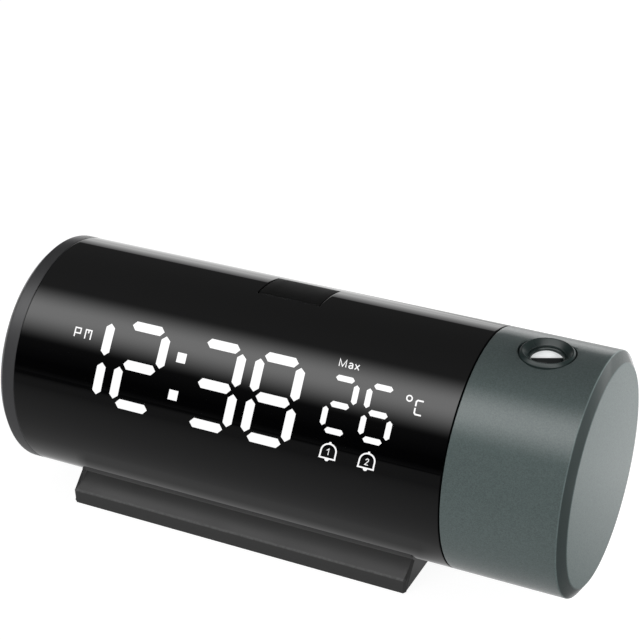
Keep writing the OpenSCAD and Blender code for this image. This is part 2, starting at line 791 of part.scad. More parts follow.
module optics_tube() {
    color([0.1, 0.1, 0.1]) leaning() translate([lens_x, 0, 0]) difference() {
        union() {
            translate([0, 0, optics_z]) cylinder(h = optics_top - optics_z, r = optics_r);
            translate([-9.7, -8, optics_z]) cube([19.7, 16, 2]);
        }
        translate([0, 0, optics_z - 1]) cylinder(h = 60, r = 3.6);
        translate([0, 0, -7]) cylinder(h = 60, r = 4.4);
        translate([0, 0, 2]) cylinder(h = 60, r = cell_r + running_gap);
        translate([-10, -1, cell_bottom - 2.5]) cube([20, 2, 10]);
        for (dx = [-8.2, 8.2]) translate([dx, 0, optics_z - 1]) cylinder(h = 4, r = 1.1, $fn = 32);
    }
}

module optics_screws() {
    color("silver") leaning() for (dx = [-8.2, 8.2])
        translate([lens_x + dx, 0, optics_z + 2]) screw(0.78, 5, 1.5, 1);
}

module lamp_board() {
    color("darkgreen") leaning() difference() {
        translate([54.8, -9, lamp_board_z]) cube([23.2, 18, board_t]);
        for (dx = [-8.2, 8.2]) translate([lens_x + dx, 0, lamp_board_z - 1]) cylinder(h = 4, r = 1.1, $fn = 32);
    }
}

module projection_lamp() {
    color("red") leaning() translate([lens_x, 0, optics_z]) {
        cylinder(h = 1, r = 2.9, $fn = 48);
        translate([0, 0, 0.9]) cylinder(h = 5, r = 2.5, $fn = 48);
        translate([0, 0, 5.9]) intersection() {
            sphere(r = 2.5, $fn = 48);
            cylinder(h = 4, r = 4, $fn = 48);
        }
    }
}

// a lens with a cylindrical rim and a cap of a sphere on top
module dome_lens(r, rim, height) {
    big = (r * r + height * height) / (2 * height);
    cylinder(h = rim, r = r);
    intersection() {
        translate([0, 0, rim - eps]) cylinder(h = height + 1, r = r);
        translate([0, 0, rim + height - big]) sphere(r = big);
    }
}

module condenser_lens() {
    color("lightblue") leaning() translate([lens_x, 0, -7]) dome_lens(4.35, 2, 2);
}

module image_panel() {
    color([0.2, 0.2, 0.25]) leaning() translate([lens_x - 3.3, -3.3, 2]) cube([6.6, 6.6, 1.4]);
}

module lamp_lead() {
    bend = 1.5;
    color("crimson") leaning() translate([54.6, 0, 0]) {
        translate([0, 0, -bend]) rotate([90, 0, 0]) rotate_extrude(angle = 90)
            translate([bend, 0]) circle(r = 1.2, $fn = 32);
        translate([bend, 0, optics_z]) cylinder(h = -bend - optics_z + eps, r = 1.2, $fn = 32);
    }
}

module focus_ring() {
    color([0.14, 0.15, 0.15]) leaning() translate([lens_x, 0, 0]) rotate_extrude()
        polygon([[cell_r + running_gap, focus_bottom], [focus_skirt_r, focus_bottom],
            [focus_skirt_r, port_floor + 0.1], [focus_r, port_floor + 0.1], [focus_r, focus_top - 0.4],
            [focus_r - 0.4, focus_top], [focus_r - 0.9, focus_top], [cell_r + 0.5, tube_r - 0.5],
            [cell_r + running_gap, tube_r - 0.9]]);
}

module lens_cell() {
    color([0.08, 0.08, 0.08]) leaning() translate([lens_x, 0, 0]) difference() {
        union() {
            translate([0, 0, cell_bottom]) cylinder(h = cell_top - cell_bottom, r = cell_r);
            translate([-6.2, -0.8, cell_bottom]) cube([12.4, 1.6, 2.5]);
        }
        translate([0, 0, cell_bottom - 1]) cylinder(h = 30, r = 3.6);
        translate([0, 0, lens_seat]) cylinder(h = 30, r = lens_r + 0.02);
        // chamfered mouth
        translate([0, 0, cell_top - 0.4]) cylinder(h = 0.5, r1 = lens_r + 0.02, r2 = lens_r + 0.5);
    }
}

module projection_lens() {
    color("white") leaning() translate([lens_x, 0, lens_seat]) dome_lens(lens_r, 0.6, 1.6);
}

display_tube();
left_end_cap();
tube_bulkhead();
chassis();
segment_housing();
diffuser_film();
display_board();
segment_leds();
display_screws();
main_board();
board_components();
main_board_screws();
speaker();
rear_panel();
button_board();
button_switches();
button_board_screws();
power_inlet();
temperature_sensor();
cell_holder();
backup_cell();
battery_door();
battery_door_screw();
snooze_carrier();
snooze_switch();
snooze_bar();
bulkhead_screws();
projector_lead();
stand();
rubber_feet();
stand_screws();
button_1();
button_2();
button_3();
button_4();
button_5();
button_6();
projector_housing();
projector_plate();
projector_screws();
friction_washer();
retaining_ring();
optics_tube();
optics_screws();
lamp_board();
projection_lamp();
condenser_lens();
image_panel();
lamp_lead();
focus_ring();
lens_cell();
projection_lens();
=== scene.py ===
"""Looks of the projection alarm clock: surfaces, lit read-out, studio and camera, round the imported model."""

import functools
import json
import math

import bmesh
import bpy
from bpy.props import FloatProperty, FloatVectorProperty, IntProperty, PointerProperty
from mathutils import Matrix, Vector


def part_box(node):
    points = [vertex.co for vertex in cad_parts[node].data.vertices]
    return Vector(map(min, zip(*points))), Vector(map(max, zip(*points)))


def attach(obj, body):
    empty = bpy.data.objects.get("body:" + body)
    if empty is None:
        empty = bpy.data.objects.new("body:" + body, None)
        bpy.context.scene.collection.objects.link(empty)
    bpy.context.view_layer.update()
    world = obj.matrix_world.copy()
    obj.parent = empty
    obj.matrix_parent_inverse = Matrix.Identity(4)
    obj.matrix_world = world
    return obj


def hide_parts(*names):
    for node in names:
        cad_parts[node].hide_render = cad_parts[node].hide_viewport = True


bl_info = {
    "name": "Projection alarm clock",
    "version": (1, 0, 0),
    "blender": (4, 5, 0),
    "location": "View3D > Sidebar > Clock",
    "description": "Builds the surfaces, the lit read-out and the studio of a projection alarm clock",
    "category": "Add Mesh",
}

MM = 0.001
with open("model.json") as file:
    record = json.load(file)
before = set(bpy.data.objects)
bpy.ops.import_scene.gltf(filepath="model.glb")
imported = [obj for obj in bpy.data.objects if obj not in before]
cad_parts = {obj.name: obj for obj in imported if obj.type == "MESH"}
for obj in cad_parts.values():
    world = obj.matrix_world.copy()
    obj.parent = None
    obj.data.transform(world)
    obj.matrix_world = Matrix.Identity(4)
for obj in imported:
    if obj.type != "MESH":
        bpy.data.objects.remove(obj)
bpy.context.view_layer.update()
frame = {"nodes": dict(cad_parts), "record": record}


def node_size(node, axis):
    """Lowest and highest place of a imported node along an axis, in metres."""
    low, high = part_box(node)
    return low[axis], high[axis]


TUBE_X0, TUBE_X1 = node_size("display_tube", 0)
CAP_X0 = node_size("left_end_cap", 0)[0]
MODULE_X0, MODULE_X1 = node_size("projector_housing", 0)
TUBE_LOW, TUBE_HIGH = node_size("display_tube", 2)
TUBE_RADIUS = (TUBE_HIGH - TUBE_LOW) / 2
AXIS_Z = (TUBE_HIGH + TUBE_LOW) / 2
STAND_X0, STAND_X1 = node_size("stand", 0)
STAND_MIDDLE = (STAND_X0 + STAND_X1) / 2
# how far the feet and the stand's screws lie apart along and across the stand
FEET_SPREAD = (STAND_X1 - STAND_X0 - 14 * MM, 41 * MM)
SCREW_SPREAD, SCREW_MIDDLE = (67 * MM, 0.0), -11.5 * MM
GRAIN_DEPTH = 0.01 * MM
# rounding of the cut edges of the tube and the projector
CUT_EDGE = 0.12 * MM


# ------------ settings


def length_setting(name, description, metres):
    return FloatProperty(name=name, description=description, default=metres, unit="LENGTH")


def angle_setting(name, description, degrees):
    return FloatProperty(name=name, description=description, default=math.radians(degrees), subtype="ANGLE")


def count_setting(name, description, number, least):
    return IntProperty(name=name, description=description, default=number, min=least)


def colour_setting(name, description, colour):
    return FloatVectorProperty(name=name, description=description, default=colour, subtype="COLOR")


class ClockBodySizes(bpy.types.PropertyGroup):
    radius: length_setting("Radius", "Outer radius of the tube and the projector", TUBE_RADIUS)
    axis_height: length_setting("Axis height", "Height of the tube's axis above the table", AXIS_Z)
    wall: length_setting("Wall", "Wall of the tube", 2 * MM)
    cap_bevel: length_setting("Cap bevel", "Bevel round the left end cap", 1.6 * MM)
    bevel_length: length_setting("Module bevel length", "Length of the projector's end bevel", 2 * MM)
    bevel_depth: length_setting("Module bevel depth", "Depth of that bevel towards the axis", 3.3 * MM)
    edge_round: length_setting("Edge rounding", "Rounding of moulded edges", 0.25 * MM)
    around: count_setting("Steps round", "Steps round the tube", 240, 48)


class ClockSnoozeSizes(bpy.types.PropertyGroup):
    middle: length_setting("Middle", "Middle of the bar along the tube", -7.15 * MM)
    length: length_setting("Length", "Length along the tube", 18.8 * MM)
    width: length_setting("Width", "Width across the tube", 13 * MM)
    angle: angle_setting("Angle", "Angle of its middle above the front horizontal", 96.5)
    gap: length_setting("Gap", "Play round the bar", 0.25 * MM)


class ClockLensSizes(bpy.types.PropertyGroup):
    middle: length_setting("Middle", "Distance of the lens axis along the body", 67.2 * MM)
    lean: angle_setting("Lean", "Lean of the lens towards the front at rest", 1.6)
    ring_radius: length_setting("Ring radius", "Outer radius of the focus ring", 7.6 * MM)
    ring_rise: length_setting("Ring rise", "Height of the focus ring above the round surface", 0.4 * MM)
    cell_radius: length_setting("Cell radius", "Radius of the lens cell", 4.95 * MM)
    lens_radius: length_setting("Lens radius", "Radius of the projection lens", 4.2 * MM)
    dome: length_setting("Dome", "Height of the lens's dome", 1.6 * MM)


class ClockStandSizes(bpy.types.PropertyGroup):
    ridge_height: length_setting("Ridge height", "Height of the ridge along the front", 4.6 * MM)
    hollow: length_setting("Hollow", "Depth of the hollow in the slope", 0.5 * MM)
    lip: length_setting("Lip", "Thickness of the lip along the tube", 0.6 * MM)
    end_bevel: length_setting("End bevel", "Bevel round both ends", 0.7 * MM)
    left_foot: length_setting("Left foot", "How far the left end moves at the table", -0.9 * MM)
    left_lean: length_setting("Left lean", "How far the left end moves at the lip", 2.1 * MM)
    right_lean: length_setting("Right lean", "How far the right end moves at the lip", 1.4 * MM)
    pockets: count_setting("Pockets", "Pockets between the ribs on each side", 6, 1)
    pocket_pitch: length_setting("Pocket pitch", "Distance from one pocket to the next", 12.6 * MM)


class ClockReadoutSizes(bpy.types.PropertyGroup):
    digit_width: length_setting("Digit width", "Distance between a large digit's uprights", 12.1 * MM)
    digit_pitch: length_setting("Digit pitch", "Distance from one large digit to the next", 17.6 * MM)
    stroke: length_setting("Stroke", "Stroke width of the large digits", 2.7 * MM)
    small_width: length_setting("Small width", "Distance between a small digit's uprights", 7.3 * MM)
    small_pitch: length_setting("Small pitch", "Distance from one small digit to the next", 11 * MM)
    small_stroke: length_setting("Small stroke", "Stroke width of the small digits", 1.6 * MM)
    relief: length_setting("Relief", "Thickness of the lit print", 0.03 * MM)


class ClockColours(bpy.types.PropertyGroup):
    shell: colour_setting("Tube", "Smoked tube", (0.001, 0.001, 0.0012))
    cap: colour_setting("End cap", "Left end cap", (0.042, 0.042, 0.044))
    module: colour_setting("Projector", "Metallic paint of the projector", (0.089, 0.116, 0.114))
    stand: colour_setting("Stand", "Stand", (0.032, 0.032, 0.032))
    snooze: colour_setting("Snooze bar", "Snooze bar", (0.004, 0.004, 0.004))
    lit: colour_setting("Read-out", "Lit strokes", (1, 1, 1))


# ------------ places and meshes


def settings():
    return bpy.context.scene


def lens_matrix():
    """From the lens's own frame, +Z along its axis, to the frame."""
    lens = settings().clock_lens
    lift = Matrix.Translation((lens.middle, 0, settings().clock_body.axis_height))
    return lift @ Matrix.Rotation(lens.lean, 4, "X")


def along_axis():
    """From a frame whose +Z runs along the tube, with its X pointing down."""
    lift = Matrix.Translation((0, 0, settings().clock_body.axis_height))
    return lift @ Matrix.Rotation(math.pi / 2, 4, "Y")


def smooth_mesh(mesh, degrees):
    """Smooth shading, but for edges sharper than the angle."""
    mesh.shade_smooth()
    mesh.set_sharp_from_angle(angle=math.radians(degrees))


def link_mesh(name, bm):
    """An object at the origin from a bmesh, as it is."""
    mesh = bpy.data.meshes.new(name)
    bm.to_mesh(mesh)
    bm.free()
    obj = bpy.data.objects.new(name, mesh)
    bpy.context.scene.collection.objects.link(obj)
    return obj


def new_object(name, bm, smooth=35):
    """An object from a bmesh, its faces pointing outwards and its shading smooth."""
    bmesh.ops.recalc_face_normals(bm, faces=bm.faces)
    obj = link_mesh(name, bm)
    smooth_mesh(obj.data, smooth)
    return obj


def add_modifier(obj, kind, **options):
    modifier = obj.modifiers.new(kind.lower(), kind)
    for option, value in options.items():
        setattr(modifier, option, value)
    return modifier


def bake_modifiers(obj, smooth=35):
    """Applies the modifiers by taking the evaluated mesh."""
    depsgraph = bpy.context.evaluated_depsgraph_get()
    mesh = bpy.data.meshes.new_from_object(obj.evaluated_get(depsgraph))
    obj.modifiers.clear()
    obj.data = mesh
    smooth_mesh(mesh, smooth)
    return obj


def cut(obj, *cutters, smooth=35):
    """Takes closed objects out of an object, and removes them."""
    for cutter in cutters:
        add_modifier(obj, "BOOLEAN", operation="DIFFERENCE", solver="EXACT", object=cutter)
    bake_modifiers(obj, smooth)
    for cutter in cutters:
        bpy.data.objects.remove(cutter)


def bevel(obj, width, segments=2, limit=60):
    """Rounds edges that are sharper than the limit."""
    add_modifier(obj, "BEVEL", width=width, segments=segments, limit_method="ANGLE",
                 angle_limit=math.radians(limit), use_clamp_overlap=True, harden_normals=False)
    return bake_modifiers(obj)


def thicken(obj, wall, offset=-1):
    """Gives a surface a wall, inwards or with an offset of 1 outwards."""
    add_modifier(obj, "SOLIDIFY", thickness=wall, offset=offset)
    return bake_modifiers(obj)


def disc(radius, low, high):
    """Outline of a plain disc, to be turned."""
    return [(0, low), (radius, low), (radius, high), (0, high)]


def turned(profile, steps, matrix):
    """A closed solid of revolution about +Z from a closed outline of (radius, height)."""
    bm = bmesh.new()
    rings = []
    for i in range(steps):
        a = 2 * math.pi * i / steps
        rings.append([bm.verts.new(matrix @ Vector((r * math.cos(a), r * math.sin(a), h)))
                      for r, h in profile])
    for i in range(steps):
        here, there = rings[i], rings[(i + 1) % steps]
        for j in range(len(profile)):
            k = (j + 1) % len(profile)
            on_axis = profile[j][0] < 1e-7 and profile[k][0] < 1e-7
            if not on_axis:
                bm.faces.new((here[j], there[j], there[k], here[k]))
    bmesh.ops.remove_doubles(bm, verts=bm.verts, dist=1e-7)
    return bm


def skin(bm, rings):
    """Faces between rings of as many points, and one over each end."""
    for here, there in zip(rings, rings[1:]):
        for i in range(len(here)):
            j = (i + 1) % len(here)
            bm.faces.new((here[i], here[j], there[j], there[i]))
    bm.faces.new(rings[0])
    bm.faces.new(rings[-1])


def rounded(points, radii, steps=4):
    """An outline with its corners rounded: one radius for each point, 0 for a sharp corner."""
    out = []
    count = len(points)
    for i, radius in enumerate(radii):
        p = Vector(points[i])
        if radius == 0:
            out.append(tuple(p))
            continue
        before, after = Vector(points[i - 1]) - p, Vector(points[(i + 1) % count]) - p
        half = before.angle(after) / 2
        reach = min(radius / math.tan(half), 0.45 * before.length, 0.45 * after.length)
        start, end = p + before.normalized() * reach, p + after.normalized() * reach
        for k in range(steps + 1):
            t = k / steps
            out.append(tuple((1 - t) ** 2 * start + 2 * t * (1 - t) * p + t * t * end))
    return out


def inset(outline, distance):
    """An outline moved towards its inside, corner by corner."""
    out, count = [], len(outline)
    area = sum(outline[i - 1][0] * outline[i][1] - outline[i][0] * outline[i - 1][1] for i in range(count))
    side = 1 if area > 0 else -1
    for i in range(count):
        p = Vector(outline[i])
        before = (p - Vector(outline[i - 1])).normalized()
        after = (Vector(outline[(i + 1) % count]) - p).normalized()
        n1, n2 = Vector((-before.y, before.x)) * side, Vector((-after.y, after.x)) * side
        n = (n1 + n2).normalized()
        out.append(tuple(p + n * distance / max(0.4, n.dot(n1))))
    return out


def finish_piece(obj, body, slot, *nodes, material=None):
    """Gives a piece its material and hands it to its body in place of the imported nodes."""
    obj.data.materials.clear()
    obj.data.materials.append(material or slot_material(slot))
    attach(obj, body)
    if nodes:
        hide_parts(*nodes)


def turned_piece(name, outline, steps, matrix, body, slot, *nodes, smooth=50):
    """A finished piece, turned from its outline."""
    finish_piece(new_object(name, turned(outline, steps, matrix), smooth), body, slot, *nodes)


# ------------ node trees


class NodeGraph:
    """A node tree, with short calls for the nodes that are used most."""

    def __init__(self, tree):
        self.tree = tree
        self.coords = None

    def fill(self, node, inputs):
        """Gives a node's inputs, by name or number, a plain value or another node's output."""
        for key, value in inputs.items():
            socket = node.inputs[key]
            if isinstance(value, bpy.types.NodeSocket):
                self.tree.links.new(value, socket)
            elif socket.type == "RGBA" and len(value) == 3:
                socket.default_value = (*value, 1)
            else:
                socket.default_value = value
        return node

    def node(self, kind, inputs=None, **options):
        node = self.tree.nodes.new(kind)
        for option, value in options.items():
            setattr(node, option, value)
        return self.fill(node, inputs or {})

    def place(self):
        """The point in the object's own frame."""
        if self.coords is None:
            self.coords = self.node("ShaderNodeTexCoord").outputs["Object"]
        return self.coords

    def split(self, vector):
        return self.node("ShaderNodeSeparateXYZ", {0: vector}).outputs

    def math(self, operation, a, b=None, clamp=False):
        inputs = {0: a} if b is None else {0: a, 1: b}
        return self.node("ShaderNodeMath", inputs, operation=operation, use_clamp=clamp).outputs[0]

    def times(self, *values):
        return functools.reduce(lambda a, b: self.math("MULTIPLY", a, b), values)

    def plus(self, *values):
        return functools.reduce(lambda a, b: self.math("ADD", a, b), values)

    def distance(self, a, b):
        return self.math("ABSOLUTE", self.math("SUBTRACT", a, b))

    def remap(self, value, low, high, to_low=0.0, to_high=1.0, kind="LINEAR"):
        """Takes low ... high to another range, and stays inside it."""
        return self.node("ShaderNodeMapRange", {
            "Value": value, "From Min": low, "From Max": high, "To Min": to_low, "To Max": to_high},
            interpolation_type=kind).outputs["Result"]

    def mix(self, factor, a, b, kind="RGBA"):
        """Runs from one colour or number to another with a factor."""
        inputs = {"Factor": factor, "A": a, "B": b}
        return self.node("ShaderNodeMix", inputs, data_type=kind).outputs["Result"]

    def noise(self, scale, detail=3.0, rough=0.55):
        return self.node("ShaderNodeTexNoise", {"Vector": self.place(), "Scale": scale, "Detail": detail,
                                                "Roughness": rough}).outputs["Fac"]

    def cells(self, scale):
        return self.node("ShaderNodeTexVoronoi", {"Vector": self.place(), "Scale": scale}).outputs

    def bump(self, height, strength):
        return self.node("ShaderNodeBump", {"Height": height, "Strength": strength,
                                            "Distance": GRAIN_DEPTH}).outputs["Normal"]

    def group(self, name, values):
        """Places a shared group, which is built once, with its own values."""
        tree = bpy.data.node_groups.get(name) or GROUP_MAKERS[name]()
        node = self.node("ShaderNodeGroup", node_tree=tree)
        return self.fill(node, values).outputs


def new_tree(name, kind, inputs, outputs):
    """A node tree of a kind: inputs as (name, socket type, default), outputs as (name, socket type)."""
    tree = bpy.data.node_groups.new(name, kind + "NodeTree")
    for label, socket, default in inputs:
        item = tree.interface.new_socket(label, in_out="INPUT", socket_type="NodeSocket" + socket)
        if default is not None:
            item.default_value = default
    for label, socket in outputs:
        tree.interface.new_socket(label, in_out="OUTPUT", socket_type="NodeSocket" + socket)
    graph = NodeGraph(tree)
    return graph, graph.node("NodeGroupInput").outputs, graph.node("NodeGroupOutput")


def number_group(name, inputs, *outputs):
    """A shader group with numbers in and numbers out."""
    return new_tree(name, "Shader", [(label, "Float", value) for label, value in inputs.items()],
                    [(label, "Float") for label in outputs])


def grain_group():
    """Moulded or painted surface: a fine grain and a slow change of tone."""
    graph, given, out = number_group("moulded_grain", {"Grain per metre": 4000.0, "Tone per metre": 60.0},
                                     "Grain", "Tone")
    graph.fill(out, {"Grain": graph.noise(given["Grain per metre"], 2.0),
                     "Tone": graph.noise(given["Tone per metre"], 4.0)})
    return graph.tree


def dust_group():
    """Specks of settled dust, thin on the sides and thicker on what faces up."""
    graph, given, out = number_group("settled_dust", {"Specks per metre": 900.0, "Amount": 0.5}, "Dust")
    specks = graph.remap(graph.cells(given["Specks per metre"])["Distance"], 0.05, 0.12, 1.0, 0.0)
    patches = graph.remap(graph.noise(45.0), 0.52, 0.7)
    normal = graph.split(graph.node("ShaderNodeNewGeometry").outputs["Normal"])
    spread = graph.times(specks, patches, graph.remap(normal["Z"], -0.2, 1.0, 0.15, 1.0))
    graph.fill(out, {"Dust": graph.math("MULTIPLY", spread, given["Amount"], True)})
    return graph.tree


def highlight_line_group():
    """Painted highlight line: strongest at no distance from an edge, and broken into patches along it."""
    graph, given, out = number_group("rubbed_edge", {
        "Distance": 0.0, "Reach": 0.3 * MM, "Patches per metre": 1200.0, "Least": 0.2}, "Worn")
    away = graph.math("DIVIDE", given["Distance"], given["Reach"])
    near = graph.math("MULTIPLY", graph.math("SUBTRACT", 1.0, away, True), 1.6, True)
    patches = graph.remap(graph.noise(given["Patches per metre"], 2.0), 0.35, 0.6, given["Least"])
    graph.fill(out, {"Worn": graph.math("MULTIPLY", near, patches, True)})
    return graph.tree


GROUP_MAKERS = {"moulded_grain": grain_group, "settled_dust": dust_group, "rubbed_edge": highlight_line_group}


# ------------ materials


def start_material(name):
    """A material, its graph and its shader."""
    material = bpy.data.materials.new(name)
    material.use_nodes = True
    return material, NodeGraph(material.node_tree), material.node_tree.nodes["Principled BSDF"]


def scaled(colour, factor):
    return tuple(min(1.0, c * factor) for c in colour)


def plastic(name, colour, rough, grain_scale=4000.0, spread=0.12, metallic=0.0, dust=0.0, specular=0.5):
    """Moulded plastic, rubber or plated metal, with a fine grain and a slow change of tone."""
    material, graph, shader = start_material(name)
    grain = graph.group("moulded_grain", {"Grain per metre": grain_scale})
    paint = graph.mix(grain["Tone"], scaled(colour, 1 - spread), scaled(colour, 1 + spread))
    if dust:
        paint = graph.mix(graph.group("settled_dust", {"Amount": dust})["Dust"], paint, (0.35, 0.35, 0.34))
    graph.fill(shader, {
        "Base Color": paint, "Metallic": metallic, "Specular IOR Level": specular,
        "Roughness": graph.remap(grain["Tone"], 0.3, 0.7, rough - 0.04, rough + 0.04),
        "Normal": graph.bump(grain["Grain"], 0.4)})
    return material


def smoked_shell_material():
    """Polished smoked plastic, nearly black, with the faintest handling marks."""
    material, graph, shader = start_material("smoked_shell")
    colour = settings().clock_colours.shell
    tone = graph.group("moulded_grain", {"Tone per metre": 25.0})["Tone"]
    graph.fill(shader, {
        "Base Color": graph.mix(tone, scaled(colour, 0.8), scaled(colour, 1.2)), "IOR": 1.5,
        "Roughness": graph.remap(tone, 0.35, 0.7, 0.02, 0.04), "Normal": graph.bump(tone, 0.02)})
    return material


def metallic_paint_material():
    """Satin grey-green paint with fine metal flakes, and painted shade and a painted highlight at the end
    bevel.
    """
    material, graph, shader = start_material("metallic_paint")
    colour = settings().clock_colours.module
    flakes_per_metre, mottle_per_metre = 4200, 1600
    flakes = graph.node("ShaderNodeSeparateColor", {"Color": graph.cells(flakes_per_metre)["Color"]}).outputs
    mottle = graph.noise(mottle_per_metre, 3.0, 0.6)
    level = graph.plus(graph.times(flakes["Red"], 0.7), graph.times(mottle, 0.3))
    paint = graph.mix(level, scaled(colour, 0.78), scaled(colour, 1.22))
    # painted shade: the bevel is darker than the rest and shows less flake; painted highlight: its outer edge
    # is lighter
    x = graph.split(graph.place())["X"]
    edge = MODULE_X1 - settings().clock_body.bevel_length
    painted_bevel_shade = graph.times(graph.remap(x, edge + 0.05 * MM, edge + 0.2 * MM),
                           graph.remap(x, MODULE_X1 - 0.2 * MM, MODULE_X1 - 0.1 * MM, 1.0, 0.0), 0.9)
    highlight_mask = graph.group("rubbed_edge", {"Distance": graph.distance(x, edge), "Reach": 0.2 * MM, "Least": 0.6})
    # painted shade on the bevel, then the painted highlight along its outer edge
    paint = graph.mix(painted_bevel_shade, paint, scaled(colour, 0.33))
    paint = graph.mix(graph.times(highlight_mask["Worn"], 0.42), paint, scaled(colour, 2.2))
    graph.fill(shader, {
        "Base Color": paint, "Roughness": graph.remap(flakes["Green"], 0.0, 1.0, 0.4, 0.5),
        "Metallic": 0.1, "Specular IOR Level": 0.2, "Coat Weight": 0.75, "Coat Roughness": 0.13,
        "Normal": graph.bump(level, 0.2)})
    return material


def stand_material():
    """Satin dark plastic, with a painted highlight in broken patches along the ridge and painted shade towards
    the tube.
    """
    material = plastic("stand_plastic", settings().clock_colours.stand, 0.5, 5200.0, dust=0.06)
    graph, shader = NodeGraph(material.node_tree), material.node_tree.nodes["Principled BSDF"]
    plain = shader.inputs["Base Color"].links[0].from_socket
    place = graph.split(graph.place())
    ridge_y, ridge_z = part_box("stand")[1][1], settings().clock_stand.ridge_height + 0.25 * MM
    # painted highlight in broken patches along the ridge, on the front face only
    highlight_mask = graph.group("rubbed_edge", {"Distance": graph.distance(place["Z"], ridge_z),
                                       "Reach": 0.4 * MM, "Least": 0.4})["Worn"]
    aside = graph.math("ABSOLUTE", place["Y"])
    at_front = graph.remap(aside, ridge_y - 0.9 * MM, ridge_y - 0.6 * MM, 0.0, 0.8)
    # painted shade: darker towards the tube, which shades the slope
    painted_tube_shade = graph.remap(place["Z"], ridge_z, 12 * MM, 0.0, 0.45)
    plain = graph.mix(painted_tube_shade, plain, (0.004, 0.004, 0.004))
    plain = graph.mix(graph.times(highlight_mask, at_front), plain, (0.085, 0.085, 0.085))
    graph.fill(shader, {"Base Color": plain})
    return material


def lit_material():
    """Lit strokes of the read-out, seen through the smoked shell."""
    material, graph, shader = start_material("lit_readout")
    colour = tuple(settings().clock_colours.lit)
    tone = graph.group("moulded_grain", {"Tone per metre": 120.0})["Tone"]
    graph.fill(shader, {
        "Base Color": (0.02, 0.02, 0.02), "Roughness": 0.3, "Emission Strength": 1.0,
        "Emission Color": graph.mix(tone, scaled(colour, 0.985), colour)})
    return material


def glass_material():
    """Moulded lens with painted light: white and glowing above a slanting plane, a painted reflection and
    glow, and dark towards the front below it, painted shade.
    """
    material, graph, shader = start_material("clear_lens")
    tone = graph.group("moulded_grain", {"Tone per metre": 250.0})["Tone"]
    # the boundary between the painted reflection and the painted shade is a slanting plane a little below the
    # dome's apex
    slant, apex_height, below, blur = Vector((-0.203, 0.4236, 0.8828)), 33.4 * MM, 1.05 * MM, 0.12 * MM
    boundary = (lens_matrix() @ Vector((0, 0, apex_height))).dot(slant) - below
    across = graph.node("ShaderNodeVectorMath", {0: graph.place(), 1: slant}, operation="DOT_PRODUCT")
    painted_reflection_mask = graph.remap(across.outputs["Value"], boundary - blur, boundary + blur)
    white = graph.mix(tone, (0.80, 0.82, 0.82), (0.9, 0.92, 0.92))
    seen = graph.mix(painted_reflection_mask, (0.006, 0.008, 0.008), white)
    # painted glow: the lens gives off its painted white and dark as light
    graph.fill(shader, {
        "Base Color": seen, "Emission Color": seen, "Emission Strength": 0.55, "IOR": 1.5,
        "Roughness": graph.remap(tone, 0.35, 0.7, 0.04, 0.1)})
    return material


MATERIALS = {}
SPECIAL_MATERIALS = {
    "smoked_shell": smoked_shell_material, "metallic_paint": metallic_paint_material,
    "clear_lens": glass_material, "lit_readout": lit_material, "stand_plastic": stand_material,
}
# the other slots: a colour or its setting's name, the roughness, and what differs from plastic's own values
PLASTICS = {
    "dark_cap": ("cap", 0.36, {"grain_scale": 5000.0, "dust": 0.05}),
    "snooze_matte": ("snooze", 0.6, {"grain_scale": 6000.0, "specular": 0.12}),
    "rear_plastic": ((0.03, 0.03, 0.031), 0.45, {"grain_scale": 5200.0}),
    "button_grey": ((0.07, 0.07, 0.072), 0.4, {"grain_scale": 5000.0}),
    "inner_plastic": ((0.03, 0.03, 0.032), 0.5, {}),
    "white_plastic": ((0.8, 0.8, 0.78), 0.45, {"spread": 0.04}),
    "circuit_board": ((0.02, 0.12, 0.04), 0.35, {}),
    "lamp_chips": ((0.9, 0.85, 0.55), 0.3, {"spread": 0.05}),
    "screw_steel": ((0.5, 0.5, 0.5), 0.3, {"grain_scale": 6000.0, "metallic": 1.0}),
    "component_black": ((0.018, 0.018, 0.018), 0.5, {}),
    "bright_metal": ((0.62, 0.62, 0.61), 0.25, {"grain_scale": 6000.0, "metallic": 1.0}),
    "lead_red": ((0.5, 0.03, 0.03), 0.4, {}),
    "foot_rubber": ((0.018, 0.018, 0.018), 0.75, {"grain_scale": 3000.0}),
    "spring_steel": ((0.42, 0.42, 0.42), 0.28, {"grain_scale": 6000.0, "metallic": 1.0}),
    "lamp_red": ((0.7, 0.04, 0.03), 0.15, {}),
    "image_glass": ((0.05, 0.05, 0.06), 0.1, {}),
    "lens_black": ((0.018, 0.028, 0.027), 0.3, {"grain_scale": 5000.0, "specular": 0.4}),
}


def slot_material(slot):
    """The material of a record slot, made once."""
    if slot not in MATERIALS:
        if slot in SPECIAL_MATERIALS:
            MATERIALS[slot] = SPECIAL_MATERIALS[slot]()
        else:
            colour, rough, values = PLASTICS[slot]
            if isinstance(colour, str):
                colour = getattr(settings().clock_colours, colour)
            MATERIALS[slot] = plastic(slot, colour, rough, **values)
    return MATERIALS[slot]


# ------------ display tube


def snooze_span(grow=0.0):
    """Ends of the snooze bar: along the tube, and as angles above the front horizontal."""
    bar = settings().clock_snooze
    half = math.asin((bar.width / 2 + grow) / settings().clock_body.radius)
    along = bar.length / 2 + grow
    return bar.middle - along, bar.middle + along, bar.angle - half, bar.angle + half


def rear_window():
    """Ends of the rear panel's window, along the tube and as angles above the front horizontal."""
    low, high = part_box("rear_panel")
    flange, lip = 2 * MM, 1.8 * MM
    half = math.asin(((high[2] - low[2]) / 2 - lip) / settings().clock_body.radius)
    return low[0] + flange, high[0] - flange, math.pi - half, math.pi + half


